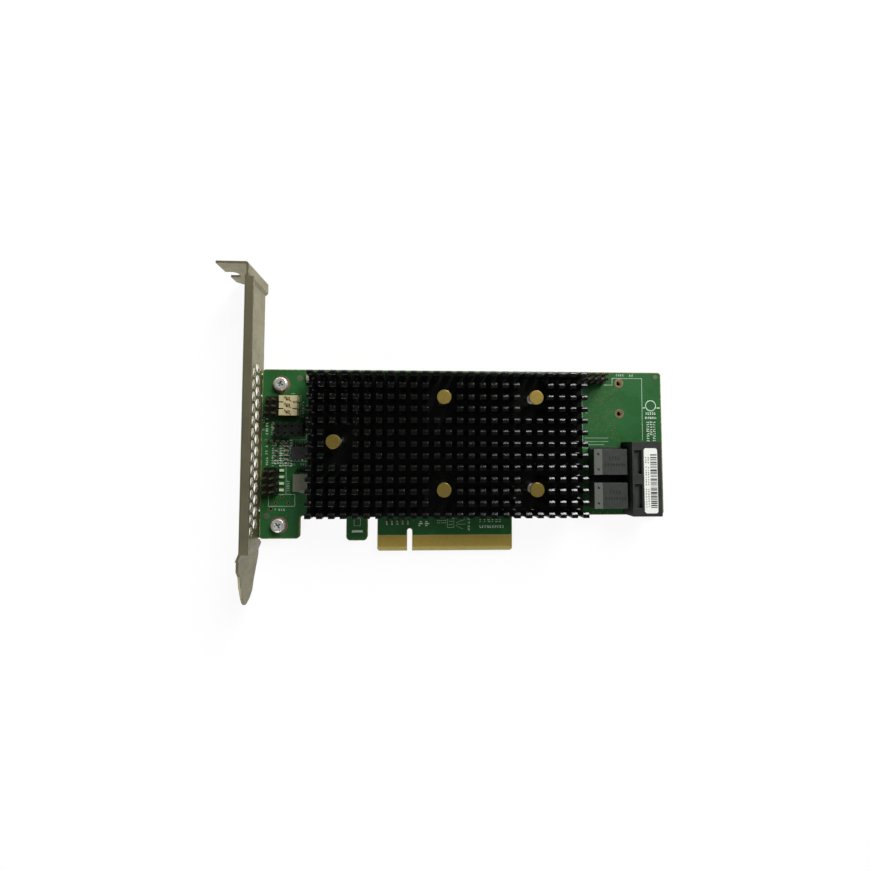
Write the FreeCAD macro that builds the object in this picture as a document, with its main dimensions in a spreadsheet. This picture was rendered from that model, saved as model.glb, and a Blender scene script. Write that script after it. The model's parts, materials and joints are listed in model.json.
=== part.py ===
import FreeCAD, Part
import Sketcher
import math
import os

# A raid controller card for a server: a circuit board with a gold edge connector, a slotted
# steel bracket, a pin-fin heat sink on sprung push pins and two cable ports at the far end.
# +X runs along the card away from the bracket, +Y from the edge connector to the top edge,
# +Z out of the component side. The origin is the edge connector's datum: the middle of the
# key notch, on the connector's lowest edge, in the plane of the component side.

doc = FreeCAD.newDocument("raid_controller_card")
sheet = doc.addObject("Spreadsheet::Sheet", "Sizes")


class Size:
    """A number that remembers which spreadsheet cells it was worked out from."""

    def __init__(self, number, text):
        self.number = float(number)
        self.text = text

    def __add__(self, other):
        other = as_size(other)
        return Size(self.number + other.number, f"({self.text} + {other.text})")

    def __sub__(self, other):
        other = as_size(other)
        return Size(self.number - other.number, f"({self.text} - {other.text})")

    def __mul__(self, other):
        other = as_size(other)
        return Size(self.number * other.number, f"({self.text} * {other.text})")

    def __truediv__(self, other):
        other = as_size(other)
        return Size(self.number / other.number, f"({self.text} / {other.text})")

    def __radd__(self, other):
        return as_size(other) + self

    def __rsub__(self, other):
        return as_size(other) - self

    def __rmul__(self, other):
        return as_size(other) * self

    def __neg__(self):
        return 0 - self


def as_size(value):
    if isinstance(value, Size):
        return value
    return Size(value, f"({value})")


# Every driving size, in millimetres. "from_left" is measured from the board's bracket end,
# "from_right" from its far end, "height" from the edge connector's lowest edge, and "rise"
# from the component side.
driving_sizes = {
    "board": {
        "board_length": 155.2, "board_height": 68.9, "board_thickness": 1.57,
        "board_lower_edge": 13.3, "board_round": 1.2, "notch_from_left": 56.32,
        "foot_length": 14.9, "foot_height": 4.8, "keeper_from_left": 32.4,
        "keeper_length": 8.0, "keeper_height": 4.0, "keeper_round": 1.6, "inner_round": 1.3,
    },
    "edge connector": {
        "edge_lead": 12.2, "edge_length": 51.4, "key_width": 1.9, "key_height": 8.4,
        "edge_bevel_height": 1.1, "edge_bevel_depth": 0.4, "edge_corner": 0.7,
        "contact_pitch": 1.0, "contact_width": 0.7, "contact_length": 4.5,
        "contact_start": 1.15, "contact_skin": 0.04, "contact_key_gap": 1.5,
        "contacts_near": 11, "contacts_far": 38,
    },
    "bracket": {
        "bracket_sheet": 0.86, "bracket_width": 18.42, "bracket_drop": 2.97,
        "bracket_gap": 0.39, "head_rise": 4.3, "bracket_length": 120.02,
        "flange_reach": 11.43, "flange_corner": 2.2, "bend_radius": 0.35,
        "lug_radius": 2.21, "lug_depth": 4.3, "lug_rise": 6.1,
        "joggle_top": 2.6, "joggle_fall": 2.2, "joggle_depth": 0.85,
        "head_step": 0.8, "head_step_height": 99.4, "head_step_fall": 0.9,
        "edge_trim": 0.87, "edge_trim_foot": 3.4,
        "stiffener_width": 3.45, "stiffener_foot": 2.7, "stiffener_stop": 0.95,
        "shoulder_low_fall": 1.9, "shoulder_high_fall": 3.6, "shoulder_high_inset": 0.9,
        "tongue_fall_1": 5.6, "tongue_low_1": 1.8, "tongue_high_1": 2.4,
        "tongue_fall_2": 9.6, "tongue_low_2": 3.8, "tongue_high_2": 3.3,
        "tongue_fall_3": 13.6, "tongue_low_3": 5.2, "tongue_high_3": 4.9,
        "tongue_fall_4": 15.6, "tongue_low_4": 7.4, "tongue_high_4": 6.0,
        "tip_low": 10.0, "tip_high": 7.2,
        "vent_pitch": 4.45, "vent_across": 3.6, "vent_first": 8.7, "vent_count": 14,
        "vent_row_gap": 3.85, "vent_rise": 3.4,
        "lip_length": 11.4, "lip_width_top": 7.6, "lip_width_foot": 9.8,
        "lip_relief": 0.7, "lip_relief_depth": 1.4,
    },
    "bracket screws": {
        "screw_from_left": 7.2, "screw_top_height": 63.1, "screw_foot_height": 9.9,
        "screw_head": 5.1, "screw_head_rise": 1.8, "screw_shank": 2.9,
        "screw_shank_length": 2.7, "screw_clearance": 0.15, "screw_recess": 2.6,
        "screw_recess_width": 0.6, "screw_recess_depth": 1.1, "plating": 0.05,
        "lip_thread": 3.0,
    },
    "heat sink": {
        "sink_from_left": 18.85, "sink_height": 13.6, "sink_length": 102.4,
        "sink_width": 53.6, "sink_base": 2.5, "sink_lift": 2.7, "fin_rise": 7.9,
        "fin_pitch_along": 4.08, "fin_pitch_across": 4.19, "fin_length": 2.1,
        "fin_width": 1.9, "fin_columns": 25, "fin_rows": 13, "fin_bevel": 0.55,
    },
    "push pins": {
        "pin_left": 29.5, "pin_middle": 68.55, "pin_right": 101.7, "pin_low": 24.15,
        "pin_centre": 41.1, "pin_high": 57.15, "pin_head": 5.1, "pin_head_rise": 1.1,
        "pin_top": 12.5, "pin_shank": 2.4, "pin_clearance": 0.2, "pin_barb": 3.1,
        "pin_barb_drop": 1.25, "pin_slot": 0.5, "spring_wire": 0.45, "spring_inner": 1.4,
        "spring_turns": 4, "spring_steps": 9, "spring_gap": 0.02,
    },
    "controller": {
        "chip_side": 27.0, "chip_board": 1.3, "lid_side": 22.0, "pad_side": 20.0,
        "lid_rise": 1.1,
    },
    "cable ports": {
        "port_from_right": 16.15, "port_length": 11.5, "port_centre": 27.6,
        "port_width": 27.7, "port_rise": 7.4, "port_pitch": 12.6, "mouth_width": 11.0,
        "mouth_rise": 5.4, "port_floor": 0.95, "mouth_flare": 0.5,
        "window_back": 0.75, "window_length": 2.85, "window_width": 8.9,
        "core_depth": 5.4, "core_gap": 0.12, "core_slot": 0.9, "core_slot_depth": 3.2,
        "core_slot_inset": 0.9, "tail_block_length": 9.45, "tail_block_width": 9.6,
        "tail_block_rise": 6.2, "tail_step": 1.3, "strip_length": 3.1, "strip_dimple": 0.8,
        "floor_margin": 0.8, "lead_width": 0.35, "lead_pitch": 1.2, "leads_per_row": 7,
        "peg_radius": 0.75, "peg_drop": 2.4, "peg_inset": 1.9,
        "label_from_right": 11.80, "label_length": 5.1, "label_low": 14.95,
        "label_width": 24.1, "label_skin": 0.1, "label_round": 0.9,
    },
    "headers": {
        "header_pitch": 2.54, "post_width": 0.64, "post_gap": 0.03,
        "cell_notch": 0.45, "tail_drop": 1.2, "status_from_left": 4.6,
        "status_centre": 54.4, "status_base": 2.3, "status_posts": 6.2,
        "lower_from_left": 4.35, "lower_centre": 26.5, "ribbed_from_left": 11.45,
        "ribbed_centre": 45.7, "ribbed_base": 4.4, "ribbed_posts": 2.2,
        "debug_from_right": 28.10, "debug_centre": 66.05, "debug_pitch_across": 2.0,
        "debug_base": 2.2, "debug_posts": 7.4,
    },
    "cream socket": {
        "cream_from_left": 10.68, "cream_centre": 54.8, "cream_length": 6.7,
        "cream_width": 7.5, "cream_rise": 3.0, "cream_slot_width": 0.4,
        "cream_slot_inset": 1.7, "cream_window": 1.5, "cream_window_depth": 1.6,
    },
    "left parts": {
        "flash_from_left": 11.6, "flash_low": 34.6, "flash_length": 6.6,
        "flash_width": 4.8, "flash_rise": 1.5, "flash_lift": 0.15, "lead_pitch_small": 1.27,
        "lead_reach": 0.6, "lead_skin": 0.2, "coil_from_left": 12.6, "coil_low": 22.5,
        "coil_length": 8.0, "coil_width": 6.6, "coil_rise": 2.35, "coil_tab": 3.3,
        "coil_tab_reach": 0.45, "lamp_from_left": 8.05, "lamp_low": 23.05,
        "lamp_pitch": 2.46, "lamp_length": 1.6, "lamp_width": 0.9, "lamp_rise": 0.7,
        "lamp_count": 4, "small_length": 1.6, "small_width": 0.8, "small_rise": 0.75,
        "corner_part_from_left": 17.3, "corner_part_height": 66.2,
    },
    "plated holes": {
        "spare_from_right": 16.80, "spare_low": 52.6, "spare_high": 64.6,
        "spare_radius": 1.02,
    },
}

sizes = {}
row_number = 1
for section, cells in driving_sizes.items():
    sheet.set(f"A{row_number}", section)
    row_number += 1
    for alias, number in cells.items():
        sheet.set(f"A{row_number}", alias)
        sheet.set(f"B{row_number}", str(number))
        sheet.setAlias(f"B{row_number}", alias)
        sizes[alias] = Size(number, f"Sizes.{alias}")
        row_number += 1
doc.recompute()


def size(alias):
    return sizes[alias]


def count(alias):
    return int(size(alias).number)


nodes = []
cuts = []


# ---- binding helpers ---------------------------------------------------------------------

def bind(item, path, value):
    """Ties one property of a document object to the spreadsheet."""
    item.setExpression(path, as_size(value).text)


def place(item, x, y, z):
    item.Placement = FreeCAD.Placement(
        FreeCAD.Vector(as_size(x).number, as_size(y).number, as_size(z).number),
        item.Placement.Rotation)
    bind(item, ".Placement.Base.x", x)
    bind(item, ".Placement.Base.y", y)
    bind(item, ".Placement.Base.z", z)


def sub_part(item, label):
    """Marks a document object as one of the card's pieces, under its own label."""
    item.Label = label
    nodes.append(item)
    return item


def box(name, low, extent):
    """A block from its lowest corner and its three lengths."""
    block = doc.addObject("Part::Box", name)
    for path, value in zip(("Length", "Width", "Height"), extent):
        bind(block, path, value)
    place(block, *low)
    return block


def joined(name, pieces):
    union = doc.addObject("Part::MultiFuse", name)
    union.Shapes = pieces
    union.Refine = True
    return union


def group(name, pieces):
    """Separate solids that are one kind of piece and share a node."""
    gathered = doc.addObject("Part::Compound", name)
    gathered.Links = pieces
    return gathered


def without(name, base, tool):
    cut = doc.addObject("Part::Cut", name)
    cut.Base = base
    cut.Tool = tool
    return cut


# ---- PartDesign helpers ------------------------------------------------------------------

def new_body(label):
    body = doc.addObject("PartDesign::Body", label)
    return sub_part(body, label)


def origin_item(body, role):
    for item in body.Origin.OriginFeatures:
        if item.Role == role:
            return item
    raise RuntimeError(f"{body.Label} has no {role}")


def new_sketch(body, name, role="XY_Plane", offset=0):
    sketch = body.newObject("Sketcher::SketchObject", name)
    sketch.AttachmentSupport = (origin_item(body, role), [""])
    sketch.MapMode = "FlatFace"
    offset = as_size(offset)
    sketch.AttachmentOffset = FreeCAD.Placement(
        FreeCAD.Vector(0, 0, offset.number), FreeCAD.Rotation())
    bind(sketch, ".AttachmentOffset.Base.z", offset)
    return sketch


def add_tied(sketch, rules):
    """Adds (kind, arguments, value) constraints together and ties each value to the sheet."""
    first = sketch.ConstraintCount
    sketch.addConstraint([Sketcher.Constraint(kind, *arguments, as_size(value).number)
                          for kind, arguments, value in rules])
    for index, (kind, arguments, value) in enumerate(rules):
        bind(sketch, f"Constraints[{first + index}]", value)


def point_rules(edge, end, x, y):
    """Holds one end of a sketch edge at a place measured from the sketch's origin."""
    return [("DistanceX", (-1, 1, edge, end), x), ("DistanceY", (-1, 1, edge, end), y)]


def outline(sketch, corners):
    """A closed outline of straight lines, each corner tied to the sheet."""
    first = sketch.GeometryCount
    points = [FreeCAD.Vector(as_size(x).number, as_size(y).number, 0) for x, y in corners]
    total = len(points)
    sketch.addGeometry([Part.LineSegment(points[index], points[(index + 1) % total])
                        for index in range(total)], False)
    sketch.addConstraint([
        Sketcher.Constraint("Coincident", first + index, 2, first + (index + 1) % total, 1)
        for index in range(total)])
    rules = []
    for index, (x, y) in enumerate(corners):
        rules += point_rules(first + index, 1, x, y)
    add_tied(sketch, rules)


def rectangle(sketch, low_x, low_y, high_x, high_y):
    outline(sketch, [(low_x, low_y), (high_x, low_y), (high_x, high_y), (low_x, high_y)])


def circle(sketch, x, y, radius):
    centre = FreeCAD.Vector(as_size(x).number, as_size(y).number, 0)
    edge = sketch.addGeometry(
        Part.Circle(centre, FreeCAD.Vector(0, 0, 1), as_size(radius).number), False)
    add_tied(sketch, point_rules(edge, 3, x, y) + [("Radius", (edge,), radius)])


def pad(body, name, sketch, length, backwards=False):
    feature = body.newObject("PartDesign::Pad", name)
    feature.Profile = sketch
    feature.Reversed = backwards
    bind(feature, "Length", length)
    return feature


def pocket(body, name, sketch, length, backwards=False, both_ways=False):
    feature = body.newObject("PartDesign::Pocket", name)
    feature.Profile = sketch
    feature.Reversed = backwards
    feature.Midplane = both_ways
    feature.Refine = False
    bind(feature, "Length", length)
    cuts.append(feature)
    return feature


def repeat(body, name, feature, role, pitch, copies):
    """Copies a feature along one of the body's own axes."""
    pattern = body.newObject("PartDesign::LinearPattern", name)
    pattern.Originals = [feature]
    pattern.Direction = (origin_item(body, role), [""])
    pattern.Occurrences = copies
    pattern.Refine = False
    bind(pattern, "Length", as_size(pitch) * (copies - 1))
    body.Tip = pattern
    cuts.append(pattern)
    return pattern


def edges_through(shape, points, tolerance=0.05):
    """Names of the edges whose middle is at one of the points (None means any value)."""
    names = []
    for index, edge in enumerate(shape.Edges, start=1):
        box_of_edge = edge.BoundBox
        middle = (box_of_edge.Center.x, box_of_edge.Center.y, box_of_edge.Center.z)
        for point in points:
            wanted = [None if value is None else as_size(value).number for value in point]
            if all(want is None or abs(want - have) < tolerance
                   for want, have in zip(wanted, middle)):
                names.append(f"Edge{index}")
                break
    return names


def round_edges(body, name, points, radius):
    """Rounds the edges that pass through the points, and fails if one isn't found."""
    base = body.Tip
    base.recompute(True)
    names = edges_through(base.Shape, points)
    if len(names) < len(points):
        raise RuntimeError(f"{body.Label} {name}: {len(names)} of {len(points)} edges found")
    feature = body.newObject("PartDesign::Fillet", name)
    feature.Base = (base, names)
    bind(feature, "Radius", radius)
    return feature


def bevel_edges(body, name, points, width):
    base = body.Tip
    base.recompute(True)
    names = edges_through(base.Shape, points)
    if len(names) < len(points):
        raise RuntimeError(f"{body.Label} {name}: {len(names)} of {len(points)} edges found")
    feature = body.newObject("PartDesign::Chamfer", name)
    feature.Base = (base, names)
    bind(feature, "Size", width)
    return feature


# ---- places that several pieces share ----------------------------------------------------

left = -size("notch_from_left")
right = left + size("board_length")
top = size("board_height")
lower_edge = size("board_lower_edge")
under = -size("board_thickness")
edge_left = -size("edge_lead")
edge_right = edge_left + size("edge_length")
screw_x = left + size("screw_from_left")
screw_places = [(screw_x, size("screw_top_height")), (screw_x, size("screw_foot_height"))]
bracket_inside = left - size("bracket_gap")
bracket_outside = bracket_inside - size("bracket_sheet")
bracket_low = -size("bracket_drop")
bracket_top = size("head_step_height") + size("head_rise")
sink_under = size("sink_lift")
sink_floor = sink_under + size("sink_base")
sink_top = sink_floor + size("fin_rise")
sink_left = left + size("sink_from_left")
sink_right = sink_left + size("sink_length")
sink_low = size("sink_height")
sink_high = sink_low + size("sink_width")
chip_x = left + (size("pin_middle") + size("pin_right")) / 2
chip_y = (size("pin_low") + size("pin_high")) / 2
push_pin_places = [
    (left + size("pin_left"), size("pin_centre")),
    (left + size("pin_middle"), size("pin_low")),
    (left + size("pin_middle"), size("pin_high")),
    (left + size("pin_right"), size("pin_low")),
    (left + size("pin_right"), size("pin_high")),
]
port_left = right - size("port_from_right")
port_right = port_left + size("port_length")
port_low = size("port_centre") - size("port_width") / 2
port_high = port_low + size("port_width")
port_centres = [size("port_centre") - size("port_pitch") / 2,
                size("port_centre") + size("port_pitch") / 2]
spare_x = right - size("spare_from_right")
spare_places = [(spare_x, size("spare_low")), (spare_x, size("spare_high"))]
peg_places = [(port_left + size("peg_inset"), port_low + size("peg_inset")),
              (port_left + size("peg_inset"), port_high - size("peg_inset"))]


def post_places(centre_x, centre_y, columns, rows, pitch_x, pitch_y):
    """Centres of a header's posts, column by column."""
    places = []
    for column in range(columns):
        for line in range(rows):
            x = centre_x + pitch_x * (column - (columns - 1) / 2)
            y = centre_y + pitch_y * (line - (rows - 1) / 2)
            places.append((x, y))
    return places


pitch = size("header_pitch")
header_posts = {
    "status_header": post_places(left + size("status_from_left"), size("status_centre"),
                                 2, 3, pitch, pitch),
    "lower_header": post_places(left + size("lower_from_left"), size("lower_centre"),
                                2, 4, pitch, pitch),
    "ribbed_header": post_places(left + size("ribbed_from_left"), size("ribbed_centre"),
                                 4, 2, pitch, pitch),
    "debug_header": post_places(right - size("debug_from_right"), size("debug_centre"),
                                4, 2, pitch, size("debug_pitch_across")),
}


# ---- circuit board -----------------------------------------------------------------------

def make_board():
    body = new_body("circuit_board")
    panel = new_sketch(body, "board_panel")
    rectangle(panel, left, lower_edge, right, top)
    pad(body, "board_panel_pad", panel, size("board_thickness"), backwards=True)

    foot_right = left + size("foot_length")
    keeper_left = left + size("keeper_from_left")
    keeper_right = keeper_left + size("keeper_length")
    feet = new_sketch(body, "board_feet")
    rectangle(feet, left, size("foot_height"), foot_right, lower_edge + size("board_round"))
    rectangle(feet, keeper_left, size("keeper_height"), keeper_right,
              lower_edge + size("board_round"))
    rectangle(feet, edge_left, 0, edge_right, lower_edge + size("board_round"))
    pad(body, "board_feet_pad", feet, size("board_thickness"), backwards=True)

    # The key notch keeps a card of another kind out of the slot; its end is round.
    half_key = size("key_width") / 2
    key = new_sketch(body, "key_notch")
    rectangle(key, -half_key, -1, half_key, size("key_height") - half_key)
    pocket(body, "key_notch_cut", key, size("board_thickness") * 3, both_ways=True)
    key_end = new_sketch(body, "key_notch_end")
    circle(key_end, 0, size("key_height") - half_key, half_key)
    pocket(body, "key_notch_end_cut", key_end, size("board_thickness") * 3, both_ways=True)

    round_edges(body, "outer_corners", [
        (left, size("foot_height"), None), (foot_right, size("foot_height"), None),
        (left, top, None), (right, top, None), (right, lower_edge, None),
    ], size("board_round"))
    round_edges(body, "keeper_corners", [
        (keeper_left, size("keeper_height"), None), (keeper_right, size("keeper_height"), None),
    ], size("keeper_round"))
    round_edges(body, "inner_corners", [
        (foot_right, lower_edge, None), (keeper_left, lower_edge, None),
        (keeper_right, lower_edge, None), (edge_left, lower_edge, None),
        (edge_right, lower_edge, None),
    ], size("inner_round"))
    bevel_edges(body, "edge_corners", [(edge_left, 0, None), (edge_right, 0, None)],
                size("edge_corner"))

    # The lead-in bevel along the edge connector, the same on both sides of the board.
    bevel = new_sketch(body, "edge_bevel", "YZ_Plane", edge_left - 1)
    depth = size("edge_bevel_depth")
    rise = size("edge_bevel_height")
    slope = depth / rise
    outline(bevel, [(rise, 0), (rise, 1), (-1, 1), (-1, -depth - slope)])
    outline(bevel, [(rise, under), (-1, under + depth + slope), (-1, under - 1),
                    (rise, under - 1)])
    pocket(body, "edge_bevel_cut", bevel, size("edge_length") + 2, backwards=True)

    holes = new_sketch(body, "board_holes")
    for x, y in screw_places:
        circle(holes, x, y, size("screw_shank") / 2 + size("screw_clearance"))
    for x, y in push_pin_places:
        circle(holes, x, y, size("pin_shank") / 2 + size("pin_clearance"))
    for x, y in spare_places:
        circle(holes, x, y, size("spare_radius"))
    for x, y in peg_places:
        circle(holes, x, y, size("peg_radius") + size("post_gap"))
    pocket(body, "board_holes_cut", holes, size("board_thickness") * 3, both_ways=True)

    half = size("post_width") / 2 + size("post_gap")
    for name, places in header_posts.items():
        seats = new_sketch(body, f"{name}_seats")
        for x, y in places:
            rectangle(seats, x - half, y - half, x + half, y + half)
        pocket(body, f"{name}_seats_cut", seats, size("board_thickness") * 3, both_ways=True)


def make_contacts(label, bottom):
    """The gold strips on one face: two runs of equal strips, either side of the key notch."""
    half = size("contact_width") / 2
    low = size("contact_start")
    high = low + size("contact_length")
    strips = []
    runs = [("near", -1, count("contacts_near")), ("far", 1, count("contacts_far"))]
    for run, side, copies in runs:
        for index in range(copies):
            x = (size("contact_key_gap") + size("contact_pitch") * index) * side
            strips.append(box(f"{label}_{run}_{index + 1}", (x - half, low, bottom),
                              (half * 2, high - low, size("contact_skin"))))
    sub_part(group(label, strips), label)


# ---- bracket -----------------------------------------------------------------------------

def make_bracket():
    body = new_body("mounting_bracket")
    sheet_steel = size("bracket_sheet")
    flange_low = bracket_top - sheet_steel
    head_inside = bracket_inside + size("head_step")
    head_outside = bracket_outside + size("head_step")
    head_low = size("head_step_height") - size("head_step_fall")
    flange_tip = head_inside - size("flange_reach")
    jog = size("joggle_depth")
    jog_top = size("joggle_top")
    jog_low = jog_top - size("joggle_fall")
    tip = bracket_top - size("bracket_length")
    bracket_high = bracket_low + size("bracket_width")

    # The strip's folded side profile, as wide as the bracket.
    strip = new_sketch(body, "folded_strip", "XY_Plane", bracket_low)
    outline(strip, [
        (flange_tip, bracket_top), (flange_tip, flange_low),
        (head_outside, flange_low), (head_outside, size("head_step_height")),
        (bracket_outside, head_low), (bracket_outside, jog_top),
        (bracket_outside - jog, jog_low), (bracket_outside - jog, tip),
        (bracket_inside - jog, tip), (bracket_inside - jog, jog_low),
        (bracket_inside, jog_top), (bracket_inside, head_low),
        (head_inside, size("head_step_height")), (head_inside, bracket_top),
    ])
    pad(body, "folded_strip_pad", strip, size("bracket_width"))

    # The lower edge stands back a little between the head and the tongue.
    trim = new_sketch(body, "edge_trim_outline", "YZ_Plane", head_inside + 1)
    rectangle(trim, size("edge_trim_foot"), bracket_low - 1, head_low,
              bracket_low + size("edge_trim"))
    pocket(body, "edge_trim_cut", trim, size("head_step") + sheet_steel + 2)

    # The far edge is folded over the card as a stiffener.
    stiffener = new_sketch(body, "stiffener_outline", "XY_Plane", bracket_high - sheet_steel)
    rectangle(stiffener, bracket_outside, size("stiffener_foot"),
              bracket_outside + size("stiffener_width"),
              size("head_step_height") - size("stiffener_stop"))
    pad(body, "stiffener_pad", stiffener, sheet_steel)

    # The tongue that drops into the chassis: shoulders, a curved taper and a narrow tip.
    for side, edge, name in ((1, bracket_low, "low"), (-1, bracket_high, "high")):
        flank = new_sketch(body, f"tongue_{name}_flank", "YZ_Plane", bracket_inside + 1)
        corners = [(jog_low - size(f"shoulder_{name}_fall"), edge - side)]
        if name == "high":
            corners = [(jog_low, edge - side), (jog_low, edge - size("shoulder_high_inset")),
                       (jog_low - size("shoulder_high_fall"),
                        edge - size("shoulder_high_inset"))]
        else:
            corners.append((jog_low - size("shoulder_low_fall"), edge))
        for station in (1, 2, 3, 4):
            corners.append((jog_low - size(f"tongue_fall_{station}"),
                            edge + size(f"tongue_{name}_{station}") * side))
        corners += [(tip, edge + size(f"tip_{name}") * side),
                    (tip - 1, edge + size(f"tip_{name}") * side), (tip - 1, edge - side)]
        outline(flank, corners)
        pocket(body, f"tongue_{name}_flank_cut", flank, jog + sheet_steel + 3)

    # The open notch in the flange, for the chassis screw.
    lug_end = flange_tip + size("lug_depth") - size("lug_radius")
    lug = new_sketch(body, "screw_notch", "XZ_Plane", -bracket_top - 1)
    rectangle(lug, flange_tip - 1, size("lug_rise") - size("lug_radius"), lug_end,
              size("lug_rise") + size("lug_radius"))
    pocket(body, "screw_notch_cut", lug, sheet_steel + 2, backwards=True)
    lug_round = new_sketch(body, "screw_notch_end", "XZ_Plane", -bracket_top - 1)
    circle(lug_round, lug_end, size("lug_rise"), size("lug_radius"))
    pocket(body, "screw_notch_end_cut", lug_round, sheet_steel + 2, backwards=True)

    # Two staggered rows of six-sided vent holes.
    reach = size("vent_across") / 2
    slant = reach / math.cos(math.radians(30))
    vents = new_sketch(body, "vent_holes", "YZ_Plane", bracket_inside + 1)
    for row in range(2):
        z = size("vent_rise") + size("vent_row_gap") * (1 - row)
        start = size("vent_first") + size("vent_pitch") / 2 * row
        outline(vents, [(start + reach * a, z + slant * b) for a, b in (
            (1, 0.5), (0, 1), (-1, 0.5), (-1, -0.5), (0, -1), (1, -0.5))])
    vent_cut = pocket(body, "vent_holes_cut", vents, sheet_steel + 2)
    repeat(body, "vent_rows", vent_cut, "Y_Axis", size("vent_pitch"), count("vent_count"))

    # Two lips folded under the board, one for each screw, with relief cuts beside the fold.
    lip_top = under
    lip_low = under - sheet_steel
    widths = (size("lip_width_top"), size("lip_width_foot"))
    for (x, y), width, name in zip(screw_places, widths, ("top", "foot")):
        relief = size("lip_relief")
        gap = new_sketch(body, f"{name}_lip_relief", "YZ_Plane", bracket_inside + 1)
        rectangle(gap, y - width / 2 - relief, bracket_low - 1, y + width / 2 + relief,
                  lip_top + size("lip_relief_depth"))
        pocket(body, f"{name}_lip_relief_cut", gap, sheet_steel + 2)
        lip = new_sketch(body, f"{name}_lip_fold", "XZ_Plane", -(y - width / 2))
        outline(lip, [
            (bracket_outside, lip_low), (bracket_outside + size("lip_length"), lip_low),
            (bracket_outside + size("lip_length"), lip_top), (bracket_inside, lip_top),
            (bracket_inside, lip_top + size("lip_relief_depth")),
            (bracket_outside, lip_top + size("lip_relief_depth")),
        ])
        pad(body, f"{name}_lip", lip, width, backwards=True)

    threads = new_sketch(body, "lip_threads", "XY_Plane", lip_top + 1)
    for x, y in screw_places:
        circle(threads, x, y, size("lip_thread") / 2)
    pocket(body, "lip_threads_cut", threads, sheet_steel + 2)

    inner = size("bend_radius")
    round_edges(body, "fold_insides", [
        (head_outside, flange_low, None),
        (bracket_inside, screw_places[0][1], lip_top),
        (bracket_inside, screw_places[1][1], lip_top),
    ], inner)
    round_edges(body, "fold_outsides", [
        (head_inside, bracket_top, None),
        (bracket_outside, screw_places[0][1], lip_low),
        (bracket_outside, screw_places[1][1], lip_low),
    ], inner + sheet_steel)
    round_edges(body, "stiffener_fold", [
        (bracket_outside, None, bracket_high),
    ], inner + sheet_steel / 2)
    bevel_edges(body, "flange_corner_cut", [
        (flange_tip, bracket_top - sheet_steel / 2, bracket_low),
    ], size("flange_corner"))


# ---- bracket screws -----------------------------------------------------------------------

def make_screws():
    """Two cross-recess pan screws, turned as one profile each."""
    screws = []
    head = size("screw_head") / 2
    shank = size("screw_shank") / 2
    rise = size("screw_head_rise")
    foot = size("plating")
    for number, (x, y) in enumerate(screw_places, start=1):
        profile = doc.addObject("Sketcher::SketchObject", f"screw_profile_{number}")
        profile.Placement = FreeCAD.Placement(
            FreeCAD.Vector(0, 0, 0), FreeCAD.Rotation(FreeCAD.Vector(1, 0, 0), 90))
        outline(profile, [
            (0, foot - size("screw_shank_length")), (shank, foot - size("screw_shank_length")),
            (shank, foot), (head, foot), (head, foot + rise * 0.5),
            (head * 0.72, foot + rise), (0, foot + rise),
        ])
        turned = doc.addObject("Part::Revolution", f"screw_turned_{number}")
        turned.Source = profile
        turned.Axis = FreeCAD.Vector(0, 0, 1)
        turned.Angle = 360
        turned.Solid = True
        place(turned, x, y, 0)
        slots = []
        reach = size("screw_recess")
        width = size("screw_recess_width")
        floor = foot + rise - size("screw_recess_depth")
        for along in (True, False):
            extent = (reach, width) if along else (width, reach)
            slots.append(box(f"screw_slot_{number}_{along}",
                             (x - extent[0] / 2, y - extent[1] / 2, floor),
                             (extent[0], extent[1], rise)))
        screws.append(without(f"screw_{number}", turned, joined(f"screw_cross_{number}", slots)))
    sub_part(group("bracket_screws", screws), "bracket_screws")


# ---- heat sink and what holds it ---------------------------------------------------------

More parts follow.
